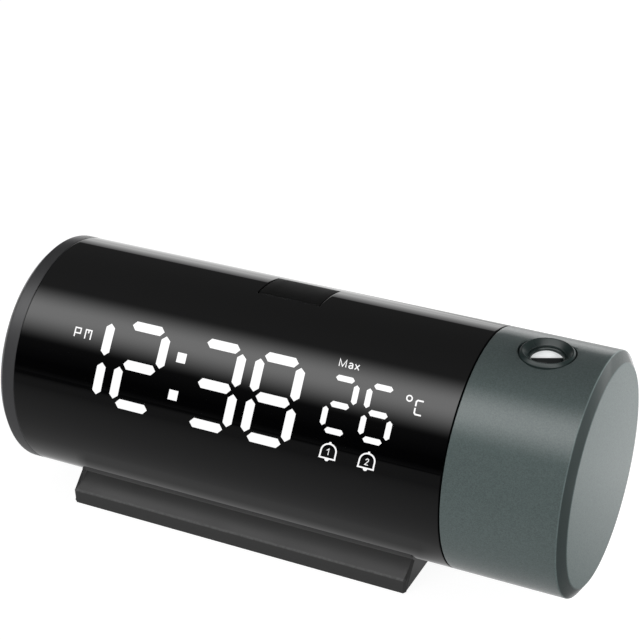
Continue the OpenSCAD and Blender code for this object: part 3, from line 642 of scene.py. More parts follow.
def shell_patch(name, x_lines, angle_lines, openings=(), closed=False):
    """A patch of the tube's outer surface, given by lines along it and round it."""
    body = settings().clock_body
    bm = bmesh.new()
    grid = [[bm.verts.new((x, -body.radius * math.cos(a), body.axis_height + body.radius * math.sin(a)))
             for x in x_lines] for a in angle_lines]
    rows = len(angle_lines)
    for i in range(rows if closed else rows - 1):
        here, there = grid[i], grid[(i + 1) % rows]
        angle = angle_lines[i] + ((angle_lines[(i + 1) % rows] - angle_lines[i]) % (2 * math.pi)) / 2
        for j in range(len(x_lines) - 1):
            x = (x_lines[j] + x_lines[j + 1]) / 2
            if not any(x0 < x < x1 and start < angle < end for x0, x1, start, end in openings):
                bm.faces.new((here[j], here[j + 1], there[j + 1], there[j]))
    bmesh.ops.delete(bm, geom=[v for v in bm.verts if not v.link_faces], context="VERTS")
    for face in bm.faces:
        middle = face.calc_center_median()
        if face.normal.dot(middle - Vector((middle.x, 0, body.axis_height))) < 0:
            face.normal_flip()
    return link_mesh(name, bm)


def lines_between(stops, step):
    """Stops, with even lines between them no further apart than the step."""
    out = [stops[0]]
    for a, b in zip(stops, stops[1:]):
        count = max(1, math.ceil((b - a) / step))
        out += [a + (b - a) * k / count for k in range(1, count + 1)]
    return out


class CLOCK_OT_display_tube(bpy.types.Operator):
    """Smoked tube with its openings for the snooze bar and the rear panel"""

    bl_idname = "clock.display_tube"
    bl_label = "Display tube"

    def execute(self, context):
        body = context.scene.clock_body
        openings = snooze_span(context.scene.clock_snooze.gap), rear_window()
        # close lines beside the openings keep the shading of their edges off the tube
        close = 0.35 * MM
        turn = close / body.radius
        stops = [TUBE_X0, TUBE_X1, TUBE_X0 + close, TUBE_X1 - close]
        arcs = [0, 2 * math.pi]
        for low, high, start, end in openings:
            stops += [low - close, low, high, high + close]
            arcs += [start - turn, start, end, end + turn]
        step_along = 4 * MM
        x_lines = lines_between(sorted(stops), step_along)
        angles = lines_between(sorted(arcs), 2 * math.pi / body.around)[:-1]
        tube = shell_patch("display_tube_shell", x_lines, angles, openings, True)
        thicken(tube, body.wall)
        bevel(tube, CUT_EDGE)
        finish_piece(tube, "clock", "smoked_shell", "display_tube")
        return {"FINISHED"}


class CLOCK_OT_snooze_bar(bpy.types.Operator):
    """Matt snooze bar let into the top of the tube"""

    bl_idname = "clock.snooze_bar"
    bl_label = "Snooze bar"

    def execute(self, context):
        low, high, start, end = snooze_span()
        step_along, step_round, thickness, edge = 3 * MM, math.radians(1.5), 3.4 * MM, 0.3 * MM
        bar = shell_patch("snooze_bar_top", lines_between([low, high], step_along),
                          lines_between([start, end], step_round))
        thicken(bar, thickness)
        bevel(bar, edge, 3)
        finish_piece(bar, "snooze", "snooze_matte", "snooze_bar")
        return {"FINISHED"}


class CLOCK_OT_end_cap(bpy.types.Operator):
    """Satin end cap with its bevelled rim"""

    bl_idname = "clock.end_cap"
    bl_label = "Left end cap"

    def execute(self, context):
        body = context.scene.clock_body
        edge, rim = body.edge_round, TUBE_X0 - 0.05 * MM
        spigot, spigot_end = body.radius - body.wall - 0.1 * MM, TUBE_X0 + 5 * MM
        outline = rounded(
            [(0, CAP_X0), (body.radius - body.cap_bevel, CAP_X0), (body.radius, CAP_X0 + body.cap_bevel),
             (body.radius, rim), (spigot, rim), (spigot, spigot_end), (0, spigot_end)],
            [0, 2 * edge, 2 * edge, edge, 0, 0, 0])
        turned_piece("left_end_cap_turned", outline, body.around, along_axis(), "clock", "dark_cap",
                     "left_end_cap")
        return {"FINISHED"}


# ------------ projector


class CLOCK_OT_projector(bpy.types.Operator):
    """Painted projector housing with its bevelled end and the lens port"""

    bl_idname = "clock.projector"
    bl_label = "Projector housing"

    def execute(self, context):
        body, port_radius = context.scene.clock_body, context.scene.clock_lens.ring_radius
        edge, inner, wall_x = body.edge_round, body.radius - body.wall, MODULE_X1 - 3 * MM
        outline = rounded(
            [(0, MODULE_X1), (body.radius - body.bevel_depth, MODULE_X1),
             (body.radius, MODULE_X1 - body.bevel_length), (body.radius, MODULE_X0), (inner, MODULE_X0),
             (inner, wall_x), (0, wall_x)], [0, edge, 1.5 * edge, edge, 0, 0, 0])
        # lines along the barrel, so that the port's edge stays smooth
        dense = []
        for a, b in zip(outline, outline[1:] + outline[:1]):
            dense.append(a)
            length = (Vector(b) - Vector(a)).length
            if abs(a[0] - body.radius) < 1e-6 and length > 5 * MM:
                step = 1.5 * MM
                count = round(length / step)
                dense += [tuple(Vector(a).lerp(Vector(b), k / count)) for k in range(1, count)]
        housing = new_object("projector_housing_turned", turned(dense, body.around, along_axis()), 50)
        inside, above = 25 * MM, 40 * MM
        hole = disc(port_radius + 0.2 * MM, inside, above)
        cut(housing, new_object("port_hole", turned(hole, 128, lens_matrix())))
        bevel(housing, CUT_EDGE)
        finish_piece(housing, "projector", "metallic_paint", "projector_housing")
        # the dark well under the focus ring, which closes the port
        bore, wall, outside = 6.65 * MM, port_radius + 0.25 * MM, port_radius + 1.25 * MM
        foot, floor, top = 22 * MM, 31.5 * MM, 32.6 * MM
        outline = [(bore, foot), (outside, foot), (outside, top), (wall, top), (wall, floor), (bore, floor)]
        turned_piece("lens_port_well", outline, 96, lens_matrix(), "projector", "lens_black", smooth=40)
        return {"FINISHED"}


class CLOCK_OT_lens_port(bpy.types.Operator):
    """Focus ring, lens cell and domed projection lens"""

    bl_idname = "clock.lens_port"
    bl_label = "Lens port"

    def execute(self, context):
        body, lens = context.scene.clock_body, context.scene.clock_lens
        bore, top = lens.cell_radius + 0.05 * MM, body.radius + lens.ring_rise
        neck, foot, shoulder = 6.6 * MM, 24.3 * MM, 31.6 * MM
        ring = rounded(
            [(bore, foot), (neck, foot), (neck, shoulder), (lens.ring_radius, shoulder),
             (lens.ring_radius, top - 0.85 * MM), (lens.ring_radius - 0.75 * MM, top),
             (lens.ring_radius - 1.0 * MM, top), (bore + 0.5 * MM, body.radius - 0.5 * MM),
             (bore, body.radius - 0.9 * MM)],
            [0, 0, 0, 0.1 * MM, 0.2 * MM, 0.25 * MM, 0.25 * MM, 0.2 * MM, 0.1 * MM])
        aperture, cell_foot, cell_top, seat = 3.6 * MM, 20 * MM, 32.6 * MM, 31.2 * MM
        pocket = lens.lens_radius + 0.02 * MM
        cell = rounded(
            [(aperture, cell_foot), (lens.cell_radius, cell_foot), (lens.cell_radius, cell_top),
             (lens.lens_radius + 0.45 * MM, cell_top), (pocket, cell_top - 0.4 * MM), (pocket, seat),
             (aperture, seat)], [0, 0, 0.12 * MM, 0.1 * MM, 0, 0, 0])
        sphere = (lens.lens_radius ** 2 + lens.dome ** 2) / (2 * lens.dome)
        centre = seat + 0.6 * MM + lens.dome - sphere
        reach = math.asin(lens.lens_radius / sphere)
        glass = [(0, seat), (lens.lens_radius, seat)] + [
            (sphere * math.sin(reach * k / 24), centre + sphere * math.cos(reach * k / 24))
            for k in range(24, -1, -1)]
        for name, outline, *owner in (
                ("focus_ring_turned", ring, "focus", "lens_black", "focus_ring"),
                ("lens_cell_turned", cell, "lens", "lens_black", "lens_cell"),
                ("projection_lens_dome", glass, "lens", "clear_lens", "projection_lens")):
            turned_piece(name, outline, 128, lens_matrix(), *owner)
        return {"FINISHED"}


# ------------ geometry node trees


def geometry_tree(name, *sizes):
    """A tree from geometry to geometry, with a material and its sizes as (name, socket type, default)."""
    inputs = [("Geometry", "Geometry", None), *sizes, ("Material", "Material", None)]
    return new_tree(name, "Geometry", inputs, [("Geometry", "Geometry")])


def finish_tree(graph, geometry, given, out):
    """Ends a geometry tree in one real mesh with its material."""
    real = graph.node("GeometryNodeRealizeInstances", {"Geometry": geometry}).outputs[0]
    paint = graph.node("GeometryNodeSetMaterial", {"Geometry": real, "Material": given["Material"]})
    graph.fill(out, {"Geometry": paint.outputs[0]})
    return graph.tree


def copies_tree():
    """Copies of a shape on a grid of points, counted and spaced by named inputs."""
    graph, given, out = geometry_tree(
        "copies_on_grid", ("Count along", "Int", 2), ("Count across", "Int", 2), ("Length", "Float", 0.01),
        ("Depth", "Float", 0.01), ("Middle", "Vector", None))
    grid = graph.node("GeometryNodeMeshGrid", {
        "Size X": given["Length"], "Size Y": given["Depth"], "Vertices X": given["Count along"],
        "Vertices Y": given["Count across"]})
    copied = graph.node("GeometryNodeInstanceOnPoints", {
        "Points": grid.outputs["Mesh"], "Instance": given["Geometry"]})
    moved = graph.node("GeometryNodeTransform", {
        "Geometry": copied.outputs["Instances"], "Translation": given["Middle"]})
    return finish_tree(graph, moved.outputs["Geometry"], given, out)


def wrap_tree():
    """Lays flat print, X along the tube and Y up its surface, onto the tube."""
    graph, given, out = geometry_tree(
        "wrap_on_tube", ("Radius", "Float", TUBE_RADIUS), ("Axis height", "Float", AXIS_Z),
        ("Face angle", "Float", 0.5426), ("Half face", "Float", 0.2204), ("Slant", "Float", 0.413))
    flat = graph.split(graph.node("GeometryNodeInputPosition").outputs[0])
    radius = graph.plus(given["Radius"], flat["Z"])
    angle = graph.math("DIVIDE", flat["Y"], given["Radius"])
    # the lit face is flat behind the shell, so what lies deeper shows further along
    turn = graph.math("SUBTRACT", angle, given["Face angle"])
    depth = graph.math("SUBTRACT", graph.math("COSINE", turn), graph.math("COSINE", given["Half face"]))
    bent = graph.node("ShaderNodeCombineXYZ", {
        "X": graph.plus(flat["X"], graph.times(depth, given["Radius"], given["Slant"])),
        "Y": graph.times(radius, graph.math("COSINE", angle), -1.0),
        "Z": graph.plus(graph.times(radius, graph.math("SINE", angle)), given["Axis height"])})
    moved = graph.node("GeometryNodeSetPosition", {
        "Geometry": given["Geometry"], "Position": bent.outputs[0]})
    return finish_tree(graph, moved.outputs[0], given, out)


def run_tree(obj, tree, values):
    """Runs a geometry tree on an object with named inputs and keeps the plain mesh."""
    modifier = add_modifier(obj, "NODES", node_group=tree)
    for item in tree.interface.items_tree:
        if item.item_type == "SOCKET" and item.in_out == "INPUT" and item.name in values:
            modifier[item.identifier] = values[item.name]
    return bake_modifiers(obj)


def copies(shape, counts, spread, middle_x, slot):
    """Copies of a shape's object on a grid, kept as one plain mesh."""
    return run_tree(shape, bpy.data.node_groups.get("copies_on_grid") or copies_tree(), {
        "Count along": counts[0], "Count across": counts[1], "Length": spread[0], "Depth": spread[1],
        "Middle": (middle_x, 0, 0), "Material": slot_material(slot)})


# ------------ stand


class CLOCK_OT_stand(bpy.types.Operator):
    """Long stand with a hollowed slope, a lip along the tube and bevelled ends"""

    bl_idname = "clock.stand"
    bl_label = "Stand"

    def execute(self, context):
        sizes = context.scene.clock_stand
        outline, lip_z = self.outline(context.scene.clock_body, sizes)

        def lean(x, z):
            """How far an end has moved at a height."""
            up = min(1.0, max(0.0, (z - sizes.ridge_height) / (lip_z - sizes.ridge_height)))
            if x < 0:
                return sizes.left_foot + (sizes.left_lean - sizes.left_foot) * up
            return sizes.right_lean * up

        bm = bmesh.new()
        small, chamfer = inset(outline, sizes.end_bevel), sizes.end_bevel
        rings = ((STAND_X0, small), (STAND_X0 + chamfer, outline), (STAND_X1 - chamfer, outline),
                 (STAND_X1, small))
        skin(bm, [[bm.verts.new((x + lean(x, z), y, z)) for y, z in points] for x, points in rings])
        stand = new_object("stand_moulding", bm, 30)
        self.hollow_underside(stand, sizes)
        finish_piece(stand, "clock", "stand_plastic", "stand")
        stand.visible_glossy = False
        return {"FINISHED"}

    def outline(self, body, sizes):
        """The stand's outline across, as (y, z), and the height where its lip ends."""
        axis, seat_radius = body.axis_height, body.radius + 0.05 * MM
        bottom, ridge_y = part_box("stand")[0][2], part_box("stand")[1][1]
        # the lip runs up the tube's underside and thins out towards its edge
        low, high = math.radians(49), math.radians(42.5)
        lip = []
        for k in range(9):
            angle, reach = low + (high - low) * k / 8, body.radius + sizes.lip * (1 - 0.7 * k / 8)
            lip.append(Vector((reach * math.cos(angle), axis - reach * math.sin(angle))))
        start, end = Vector((ridge_y - 0.35 * MM, sizes.ridge_height + 0.5 * MM)), lip[0]
        inward = Vector((-(end - start).y, (end - start).x)).normalized()
        slope = [start.lerp(end, t) + inward * sizes.hollow * 4 * t * (1 - t)
                 for t in (k / 12 for k in range(12))]
        edge, bottom_angle = math.radians(0.3) - high, -math.pi / 2
        cradle = [Vector((seat_radius * math.cos(a), axis + seat_radius * math.sin(a)))
                  for a in (edge + (bottom_angle - edge) * k / 40 for k in range(41))]
        corner = rounded([(ridge_y - 1.2 * MM, bottom), (ridge_y - 0.3 * MM, bottom),
                          (ridge_y, sizes.ridge_height), tuple(start)], [0, 0.3 * MM, 0.2 * MM, 0], 3)[1:-1]
        right = [Vector(p) for p in corner] + slope + lip + cradle
        return [tuple(p) for p in right] + [(-p.x, p.y) for p in reversed(right[:-1])], lip[-1].y

    def hollow_underside(self, stand, sizes):
        """Takes out the pockets between the ribs, the recesses of the feet and the screws' counterbores."""
        half_width, pocket = 5.5 * MM, bmesh.new()
        for side in (-1, 1):
            outline = [(side * y * MM, z * MM) for y, z in
                       ((14.5, -1), (24, -1), (24, 3.7), (20.5, 5.0), (14.5, 3))]
            skin(pocket, [[pocket.verts.new((x, y, z)) for y, z in outline]
                          for x in (-half_width, half_width)])
        spread = (sizes.pockets - 1) * sizes.pocket_pitch, 0.0
        bore, recess = (turned(disc(radius, -1 * MM, 1 * MM), steps, Matrix())
                        for radius, steps in ((3.1 * MM, 32), (4.6 * MM, 48)))
        cutters = [copies(new_object(name, bm), counts, apart, middle_x, "stand_plastic")
                   for name, bm, counts, apart, middle_x in (
                       ("pockets", pocket, (sizes.pockets, 1), spread, STAND_MIDDLE),
                       ("bores", bore, (2, 1), SCREW_SPREAD, SCREW_MIDDLE),
                       ("pads", recess, (2, 2), FEET_SPREAD, STAND_MIDDLE))]
        cut(stand, *cutters, smooth=30)


class CLOCK_OT_feet_and_screws(bpy.types.Operator):
    """Rubber feet and cross-head screws under the stand, and the battery door's screw"""

    bl_idname = "clock.feet_and_screws"
    bl_label = "Feet and screws"

    def execute(self, context):
        thick = 1 * MM
        outline = rounded(disc(4.5 * MM, 0, thick), [0, 0.3 * MM, 0, 0])
        # a shallow dish in the middle of each foot
        outline[:1] = [(0, 0.15 * MM), (3.1 * MM, 0.15 * MM), (3.3 * MM, 0)]
        feet = copies(new_object("rubber_feet_pads", turned(outline, 64, Matrix())), (2, 2), FEET_SPREAD,
                      STAND_MIDDLE, "foot_rubber")
        upside_down = Matrix.Translation((0, 0, thick)) @ Matrix.Rotation(math.pi, 4, "X")
        low = self.screw("stand_screw_heads", upside_down, shank=1.1 * MM, length=9 * MM, head=2.8 * MM,
                         height=0.65 * MM)
        screws = copies(low, (2, 1), SCREW_SPREAD, SCREW_MIDDLE, "screw_steel")
        low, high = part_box("battery_door_screw")
        head = 0.8 * MM
        seat = Vector(((low[0] + high[0]) / 2, high[1] - head, (low[2] + high[2]) / 2))
        backwards = Matrix.Translation(seat) @ Matrix.Rotation(-math.pi / 2, 4, "X")
        door = self.screw("battery_door_screw_head", backwards, shank=0.88 * MM, length=4 * MM, head=1.8 * MM,
                          height=head)
        finish_piece(feet, "clock", "foot_rubber", "rubber_feet")
        finish_piece(screws, "clock", "screw_steel", "stand_screws")
        finish_piece(door, "clock", "screw_steel", "battery_door_screw")
        feet.visible_glossy = screws.visible_glossy = False
        return {"FINISHED"}

    def screw(self, name, place, shank, length, head, height):
        """A screw along -Z with a crowned head and a cross recess."""
        outline = rounded([(0, -length), (shank, -length), (shank, 0), (head, 0), (head, height * 0.55),
                           (0, height)], [0, shank * 0.5, 0, 0, height * 0.5, 0])
        screw = new_object(name, turned(outline, 48, place), 30)
        long, thin, deep = head * 1.16, head * 0.26, height * 0.9
        slot = Matrix.Translation((0, 0, height)) @ Matrix.Diagonal((long, thin, deep, 1))
        for turn in (0, math.pi / 2):
            cross = bmesh.new()
            bmesh.ops.create_cube(cross, size=1.0, matrix=place @ Matrix.Rotation(turn, 4, "Z") @ slot)
            cut(screw, new_object("cross", cross))
        return screw


# ------------ lit read-out


def flat_print(name, outlines, relief, step=1.0 * MM):
    """Flat print from outlines of (x, arc), cut into strips narrow enough to bend."""
    bm = bmesh.new()
    for outline in outlines:
        bm.faces.new([bm.verts.new((x, y, 0)) for x, y in outline])
    heights = [v.co.y for v in bm.verts]
    low, high = min(heights), max(heights)
    for k in range(1, math.ceil((high - low) / step)):
        bmesh.ops.bisect_plane(bm, geom=bm.verts[:] + bm.edges[:] + bm.faces[:], dist=1e-7,
                               plane_co=(0, low + k * step, 0), plane_no=(0, 1, 0))
    for face in bm.faces:
        if face.normal.z < 0:
            face.normal_flip()
    return thicken(link_mesh(name, bm), relief, 1)


def stroke_outline(a, b, width):
    """Pointed stroke from a to b."""
    along = (b - a).normalized()
    side, tip = Vector((-along.y, along.x)) * width / 2, along * width * 0.42
    return [tuple(p) for p in (a, a + tip + side, b - tip + side, b, b - tip - side, a + tip - side)]


# a digit's strokes, from and to (side, row), and which of them are lit
STROKES = (((0, 0), (1, 0)), ((1, 0), (1, 1)), ((1, 1), (1, 2)), ((0, 2), (1, 2)), ((0, 1), (0, 2)),
           ((0, 0), (0, 1)), ((0, 1), (1, 1)))
LIT = {"1": "0110000", "2": "1101101", "3": "1111001", "6": "1011111", "8": "1111111"}


def digit(character, left, width, rows, stroke, gap):
    """Outlines of a digit's lit strokes; rows are the heights of its top, middle and bottom."""
    out = []
    for ends, lit in zip(STROKES, LIT[character]):
        a, b = (Vector((left + side * width, rows[row])) for side, row in ends)
        room = (b - a).normalized() * gap
        if lit == "1":
            out.append(stroke_outline(a + room, b - room, stroke))
    return out


def ring_strips(middle, outer, inner, steps=28):
    """A flat ring as a row of four-sided outlines."""
    out = []
    for k in range(steps):
        a, b = 2 * math.pi * k / steps, 2 * math.pi * (k + 1) / steps
        out.append([(middle[0] + r * math.cos(t), middle[1] + r * math.sin(t))
                    for r, t in ((inner, a), (outer, a), (outer, b), (inner, b))])
    return out


def path_strips(points, width):
    """A bent line as four-sided outlines with mitred corners."""
    points = [Vector(p) for p in points]
    closed = (points[0] - points[-1]).length < 1e-9
    if closed:
        points = points[:-1]
    count = len(points)
    sides = []
    for i, p in enumerate(points):
        before = (p - points[i - 1]).normalized() if closed or i > 0 else None
        after = (points[(i + 1) % count] - p).normalized() if closed or i < count - 1 else before
        before = before or after
        n1, n2 = Vector((-before.y, before.x)), Vector((-after.y, after.x))
        n = (n1 + n2).normalized()
        n *= width / 2 / max(0.5, n.dot(n1))
        sides.append((tuple(p + n), tuple(p - n)))
    return [[*sides[i], *reversed(sides[(i + 1) % count])] for i in range(count if closed else count - 1)]


def bell(x):
    """Outlines of a bell: dome with nearly upright sides, knob on top and clapper below."""
    base, half, height, swell = 6.6 * MM, 2.15 * MM, 4.1 * MM, 1.03
    shoulder, skirt = base + height * 0.5, base + height * 0.2
    dome = [(x - half * swell, base), (x - half, skirt)]
    for k in range(13):
        a = math.pi * (1 - k / 12)
        dome.append((x + half * math.cos(a), shoulder + height * 0.5 * math.sin(a)))
    dome += [(x + half, skirt), (x + half * swell, base), (x - half * swell, base)]
    knob = [(x + across * MM, base + height + up * MM)
            for across, up in ((-0.4, 0), (0.4, 0), (0.25, 0.55), (-0.25, 0.55))]
    clapper = [(x + 0.62 * MM * math.cos(a), base - 0.2 * MM + 0.62 * MM * math.sin(a))
               for a in (math.pi + math.pi * k / 8 for k in range(9))]
    return path_strips(dome, 0.42 * MM) + [knob, clapper]


# thin strokes, in millimetres along the tube and up its surface: width, corner that they start from, lines
FINE_PRINT = (
    # P and M
    (0.36, (-62.7, 22.75), [[(0, 0), (0, 2.6), (1.75, 2.6), (1.75, 1.15), (0, 1.15)],
                            [(3.4, 0), (3.4, 2.6), (5.2, 2.6), (5.2, 0)], [(4.3, 2.6), (4.3, 1.7)]]),
    # the C of the temperature
    (0.42, (40.2, 23.55), [[(1.95, 3.75), (0.35, 3.75), (0, 3.4), (0, 2.095)],
                           [(0, 1.655), (0, 0.35), (0.35, 0), (1.95, 0)]]),
    # 1 and 2 on the bells
    (0.22, (19.0, 7.55), [[(0, 1.25), (0.55, 1.8), (0.55, 0.05)]]),
    (0.22, (30.15, 7.55), [[(0.05, 1.25), (0.2, 1.57), (0.55, 1.7), (0.85, 1.45), (0.8, 1.05), (0, 0),
                            (0.95, 0)]]),
    # "Max"
    (0.29, (17.05, 31.65), [
        [(0, 0), (0, 2.1), (0.95, 0.1), (1.9, 2.1), (1.9, 0)],
        [(2.8, 1.25), (3.1, 1.5), (3.5, 1.5), (3.78, 1.25), (3.82, 0.9), (3.82, 0)],
        [(3.82, 0.85), (3.15, 0.8), (2.8, 0.55), (2.8, 0.25), (3.1, 0.0), (3.5, 0.05), (3.82, 0.35)],
        [(4.5, 0), (5.7, 1.5)], [(4.5, 1.5), (5.7, 0)]]),
)


class CLOCK_OT_readout(bpy.types.Operator):
    """Lit time, temperature and symbols on the front of the tube"""

    bl_idname = "clock.readout"
    bl_label = "Lit read-out"

    def execute(self, context):
        sizes, body = context.scene.clock_readout, context.scene.clock_body
        large_rows = 29.67 * MM, 18.45 * MM, 7.2 * MM
        small_rows = 28.45 * MM, 21.25 * MM, 14.2 * MM
        first, colon_room, small_left = -52.0 * MM - sizes.digit_width, 5.9 * MM, 16.0 * MM
        outlines = []
        for k, character in enumerate("1238"):
            left = first + k * sizes.digit_pitch + (colon_room if k > 1 else 0)
            outlines += digit(character, left, sizes.digit_width, large_rows, sizes.stroke, 1.0 * MM)
        for k, character in enumerate("26"):
            outlines += digit(character, small_left + k * sizes.small_pitch, sizes.small_width, small_rows,
                              sizes.small_stroke, 0.93 * MM)
        colon_x, half_dot = -28.5 * MM, 1.4 * MM
        for y in (23.75 * MM, 13.3 * MM):
            outlines.append([(colon_x + sx * half_dot, y + sy * half_dot)
                             for sx, sy in ((-1, -1), (1, -1), (1, 1), (-1, 1))])
        outlines += ring_strips((38.14 * MM, 27.35 * MM), 0.93 * MM, 0.57 * MM)
        for width, (x0, y0), lines in FINE_PRINT:
            for line in lines:
                outlines += path_strips([((x0 + x) * MM, (y0 + y) * MM) for x, y in line], width * MM)
        outlines += bell(19.5 * MM) + bell(30.6 * MM)
        lit = slot_material("lit_readout")
        readout = run_tree(flat_print("lit_readout", outlines, sizes.relief), wrap_tree(), {
            "Radius": body.radius + 0.01 * MM, "Axis height": body.axis_height, "Material": lit})
        finish_piece(readout, "clock", "white_plastic", material=lit)
        return {"FINISHED"}


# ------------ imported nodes


class CLOCK_OT_packed_nodes(bpy.types.Operator):
    """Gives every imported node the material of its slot"""

    bl_idname = "clock.packed_nodes"
    bl_label = "Materials of the packed nodes"

    def execute(self, context):
        slots = {part["node"]: part["material_slot"] for part in frame["record"]["subparts"]}
        for name, obj in frame["nodes"].items():
            obj.data.materials.clear()
            obj.data.materials.append(slot_material(slots[name]))
        return {"FINISHED"}


# ------------ stage


def studio_world():
    """A bright box over the front, a dark ceiling and a white wall behind, as bands round the long axis."""
    world = bpy.data.worlds.new("studio")
    bpy.context.scene.world = world
    world.use_nodes = True
    graph = NodeGraph(world.node_tree)
    way = graph.split(graph.node("ShaderNodeTexCoord").outputs["Generated"])
    # the angle runs from 0 at the front horizon over 90 overhead to 180 at the back
    degrees = graph.math("DEGREES", graph.math("ARCTAN2", way["Z"], graph.times(way["Y"], -1.0)))
    rise = graph.remap(degrees, 31, 60, kind="SMOOTHSTEP")
    box_level, even_light = 3.4, 0.22
    box = graph.times(rise, graph.remap(degrees, 64, 91, 1.0, 0.0, "SMOOTHSTEP"), box_level)
    ceiling = graph.times(graph.remap(degrees, 92, 164, 0.18, 0.02), rise)
    # the wall behind, the horizon in front and what lies low behind
    bands = [graph.remap(degrees, *band) for band in (
        (164.8, 166, 0.0, 0.45), (166, 180, 0.0, 0.9), (-4, 4, 0.1, 0.0), (12, 32, 0.0, 0.06),
        (-150, -170, 0.0, 1.2))]
    dark_sides = graph.remap(graph.math("ABSOLUTE", way["X"]), 0.6, 0.9, 1.0, 0.12, "SMOOTHSTEP")
    level = graph.times(graph.plus(box, ceiling, *bands), dark_sides)
    # reflections see the bands, what is matt gets an even light, and the camera sees white
    rays = graph.node("ShaderNodeLightPath").outputs
    mirrored = graph.math("MAXIMUM", rays["Is Glossy Ray"], rays["Is Transmission Ray"])
    strength = graph.mix(rays["Is Camera Ray"], graph.mix(mirrored, even_light, level, "FLOAT"), 1.0, "FLOAT")
    graph.fill(world.node_tree.nodes["Background"], {"Color": (1, 1, 1), "Strength": strength})


def floor_material():
    """White floor that keeps a faint shadow, and dims towards the front in reflections."""
    material, graph, shader = start_material("floor_white")
    graph.tree.nodes.remove(shader)
    rays = graph.node("ShaderNodeLightPath").outputs
    diffuse = graph.node("ShaderNodeBsdfDiffuse", {"Color": (0.3, 0.3, 0.3)})
    glow = graph.node("ShaderNodeEmission", {"Strength": graph.remap(rays["Is Camera Ray"], 0, 1, 0.3, 0.92)})
    seen = graph.node("ShaderNodeAddShader", {0: diffuse.outputs[0], 1: glow.outputs[0]})
    place = graph.split(graph.place())
    x, y = place["X"], place["Y"]
    level = graph.plus(*(graph.remap(y, *band) for band in (
        (-0.2, -0.04, 0.16, 0.37), (-0.036, -0.019, 0.0, 0.18), (-0.0172, -0.013, 0.0, 0.2),
        (0.03, 0.12, 0.0, 0.42))))
    # dimmer under the stand, a painted shadow; dimmer also to the right of the object and far to its sides
    under = graph.times(graph.remap(x, STAND_X0 - 8 * MM, STAND_X0 - 4 * MM),
                        graph.remap(x, STAND_X1 - 1 * MM, STAND_X1 + 6 * MM, 1.0, 0.0),
                        graph.remap(y, -0.034, -0.026))
    level = graph.times(level, graph.remap(under, 0, 1, 1.0, 0.55))
    level = graph.mix(graph.remap(x, 0.080, 0.086), level, graph.remap(y, -0.03, 0.06, 0.05, 0.62), "FLOAT")
    behind = graph.times(graph.math("MAXIMUM", y, 0.0), 0.6)
    aside = graph.math("SUBTRACT", graph.math("ABSOLUTE", x), behind)
    level = graph.times(level, graph.remap(aside, 0.2, 0.5, 1.0, 0.15, "SMOOTHSTEP"))
    mirrored = graph.node("ShaderNodeEmission", {"Strength": level})
    both = graph.node("ShaderNodeMixShader", {0: rays["Is Glossy Ray"], 1: seen.outputs[0],
                                              2: mirrored.outputs[0]})
    graph.fill(graph.tree.nodes["Material Output"], {"Surface": both.outputs[0]})
    return material


def aimed_object(name, data, place, way):
    """A lamp or camera at a place, looking a way."""
    obj = bpy.data.objects.new(name, data)
    obj.location = place
    obj.rotation_euler = way.to_track_quat("-Z", "Y").to_euler()
    bpy.context.scene.collection.objects.link(obj)
    return obj


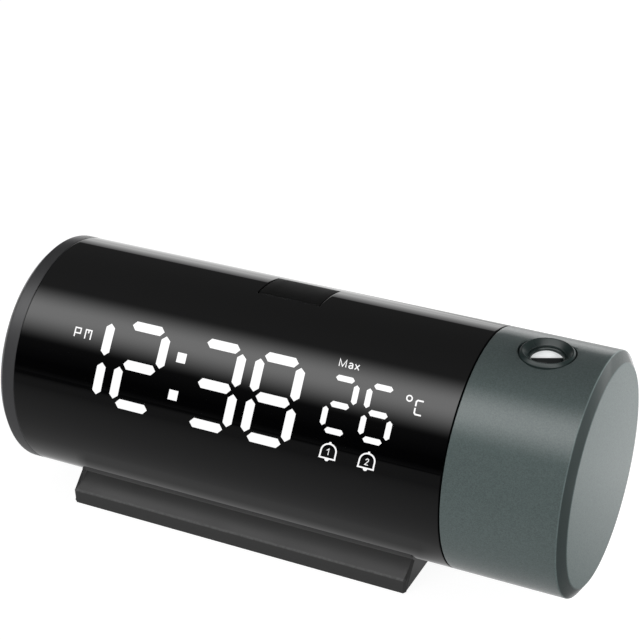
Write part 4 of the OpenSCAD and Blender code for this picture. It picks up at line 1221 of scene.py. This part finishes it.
class CLOCK_OT_stage(bpy.types.Operator):
    """White floor, studio light and camera"""

    bl_idname = "clock.stage"
    bl_label = "Stage and camera"

    def execute(self, context):
        scene = context.scene
        bm = bmesh.new()
        half_floor, aim = 3.0, Vector((0, 0, 0.03))
        bmesh.ops.create_grid(bm, x_segments=4, y_segments=4, size=half_floor)
        floor = new_object("floor", bm)
        floor.data.materials.append(floor_material())
        studio_world()

        for name, size, power, place in (("key", (0.9, 0.5), 6.0, (-0.15, -0.9, 0.25)),
                                         ("fill", (0.4, 0.3), 6.4, (0.55, 0.3, 0.1))):
            lamp = bpy.data.lights.new(name, "AREA")
            lamp.shape = "RECTANGLE"
            lamp.size, lamp.size_y = size
            lamp.energy = power
            light = aimed_object(name, lamp, place, aim - Vector(place))
            light.visible_glossy = False

        # the focal length and the middle of the view come from the picture, in its pixels
        picture, focal, middle_x, middle_y = 640, 1781.3, 309.0, 333.9
        azimuth, elevation = math.radians(25.62), math.radians(28.02)
        camera = bpy.data.cameras.new("camera")
        camera.sensor_width = 36
        camera.lens = focal / picture * camera.sensor_width
        camera.shift_x, camera.shift_y = 0.5 - middle_x / picture, middle_y / picture - 0.5
        camera.clip_start, camera.clip_end = 0.02, 20
        way = Vector((-math.sin(azimuth) * math.cos(elevation), math.cos(azimuth) * math.cos(elevation),
                      -math.sin(elevation)))
        eye = 187.39 * MM, -395.38 * MM, 256.18 * MM + scene.clock_body.axis_height
        scene.camera = aimed_object("camera", camera, eye, way)
        scene.view_settings.view_transform = "Standard"
        return {"FINISHED"}


# ------------ add-on


class CLOCK_PT_panel(bpy.types.Panel):
    bl_idname = "CLOCK_PT_panel"
    bl_label = "Projection alarm clock"
    bl_space_type = "VIEW_3D"
    bl_region_type = "UI"
    bl_category = "Clock"

    def draw(self, context):
        for operator in OPERATORS:
            self.layout.operator(operator.bl_idname)
        for name, group in PROPERTY_GROUPS.items():
            box = self.layout.box()
            for key in group.__annotations__:
                box.prop(getattr(context.scene, name), key)


OPERATORS = (
    CLOCK_OT_stage, CLOCK_OT_packed_nodes, CLOCK_OT_display_tube, CLOCK_OT_end_cap, CLOCK_OT_snooze_bar,
    CLOCK_OT_projector, CLOCK_OT_lens_port, CLOCK_OT_stand, CLOCK_OT_feet_and_screws, CLOCK_OT_readout)
PROPERTY_GROUPS = {
    "clock_body": ClockBodySizes, "clock_snooze": ClockSnoozeSizes, "clock_lens": ClockLensSizes,
    "clock_stand": ClockStandSizes, "clock_readout": ClockReadoutSizes, "clock_colours": ClockColours,
}


def register():
    for name, group in PROPERTY_GROUPS.items():
        bpy.utils.register_class(group)
        setattr(bpy.types.Scene, name, PointerProperty(type=group))
    for item in (*OPERATORS, CLOCK_PT_panel):
        bpy.utils.register_class(item)


def unregister():
    for item in (CLOCK_PT_panel, *reversed(OPERATORS)):
        bpy.utils.unregister_class(item)
    for name, group in PROPERTY_GROUPS.items():
        delattr(bpy.types.Scene, name)
        bpy.utils.unregister_class(group)


def main():
    register()
    for operator in OPERATORS:
        group, name = operator.bl_idname.split(".")
        getattr(getattr(bpy.ops, group), name)()


if __name__ == "__main__":
    main()
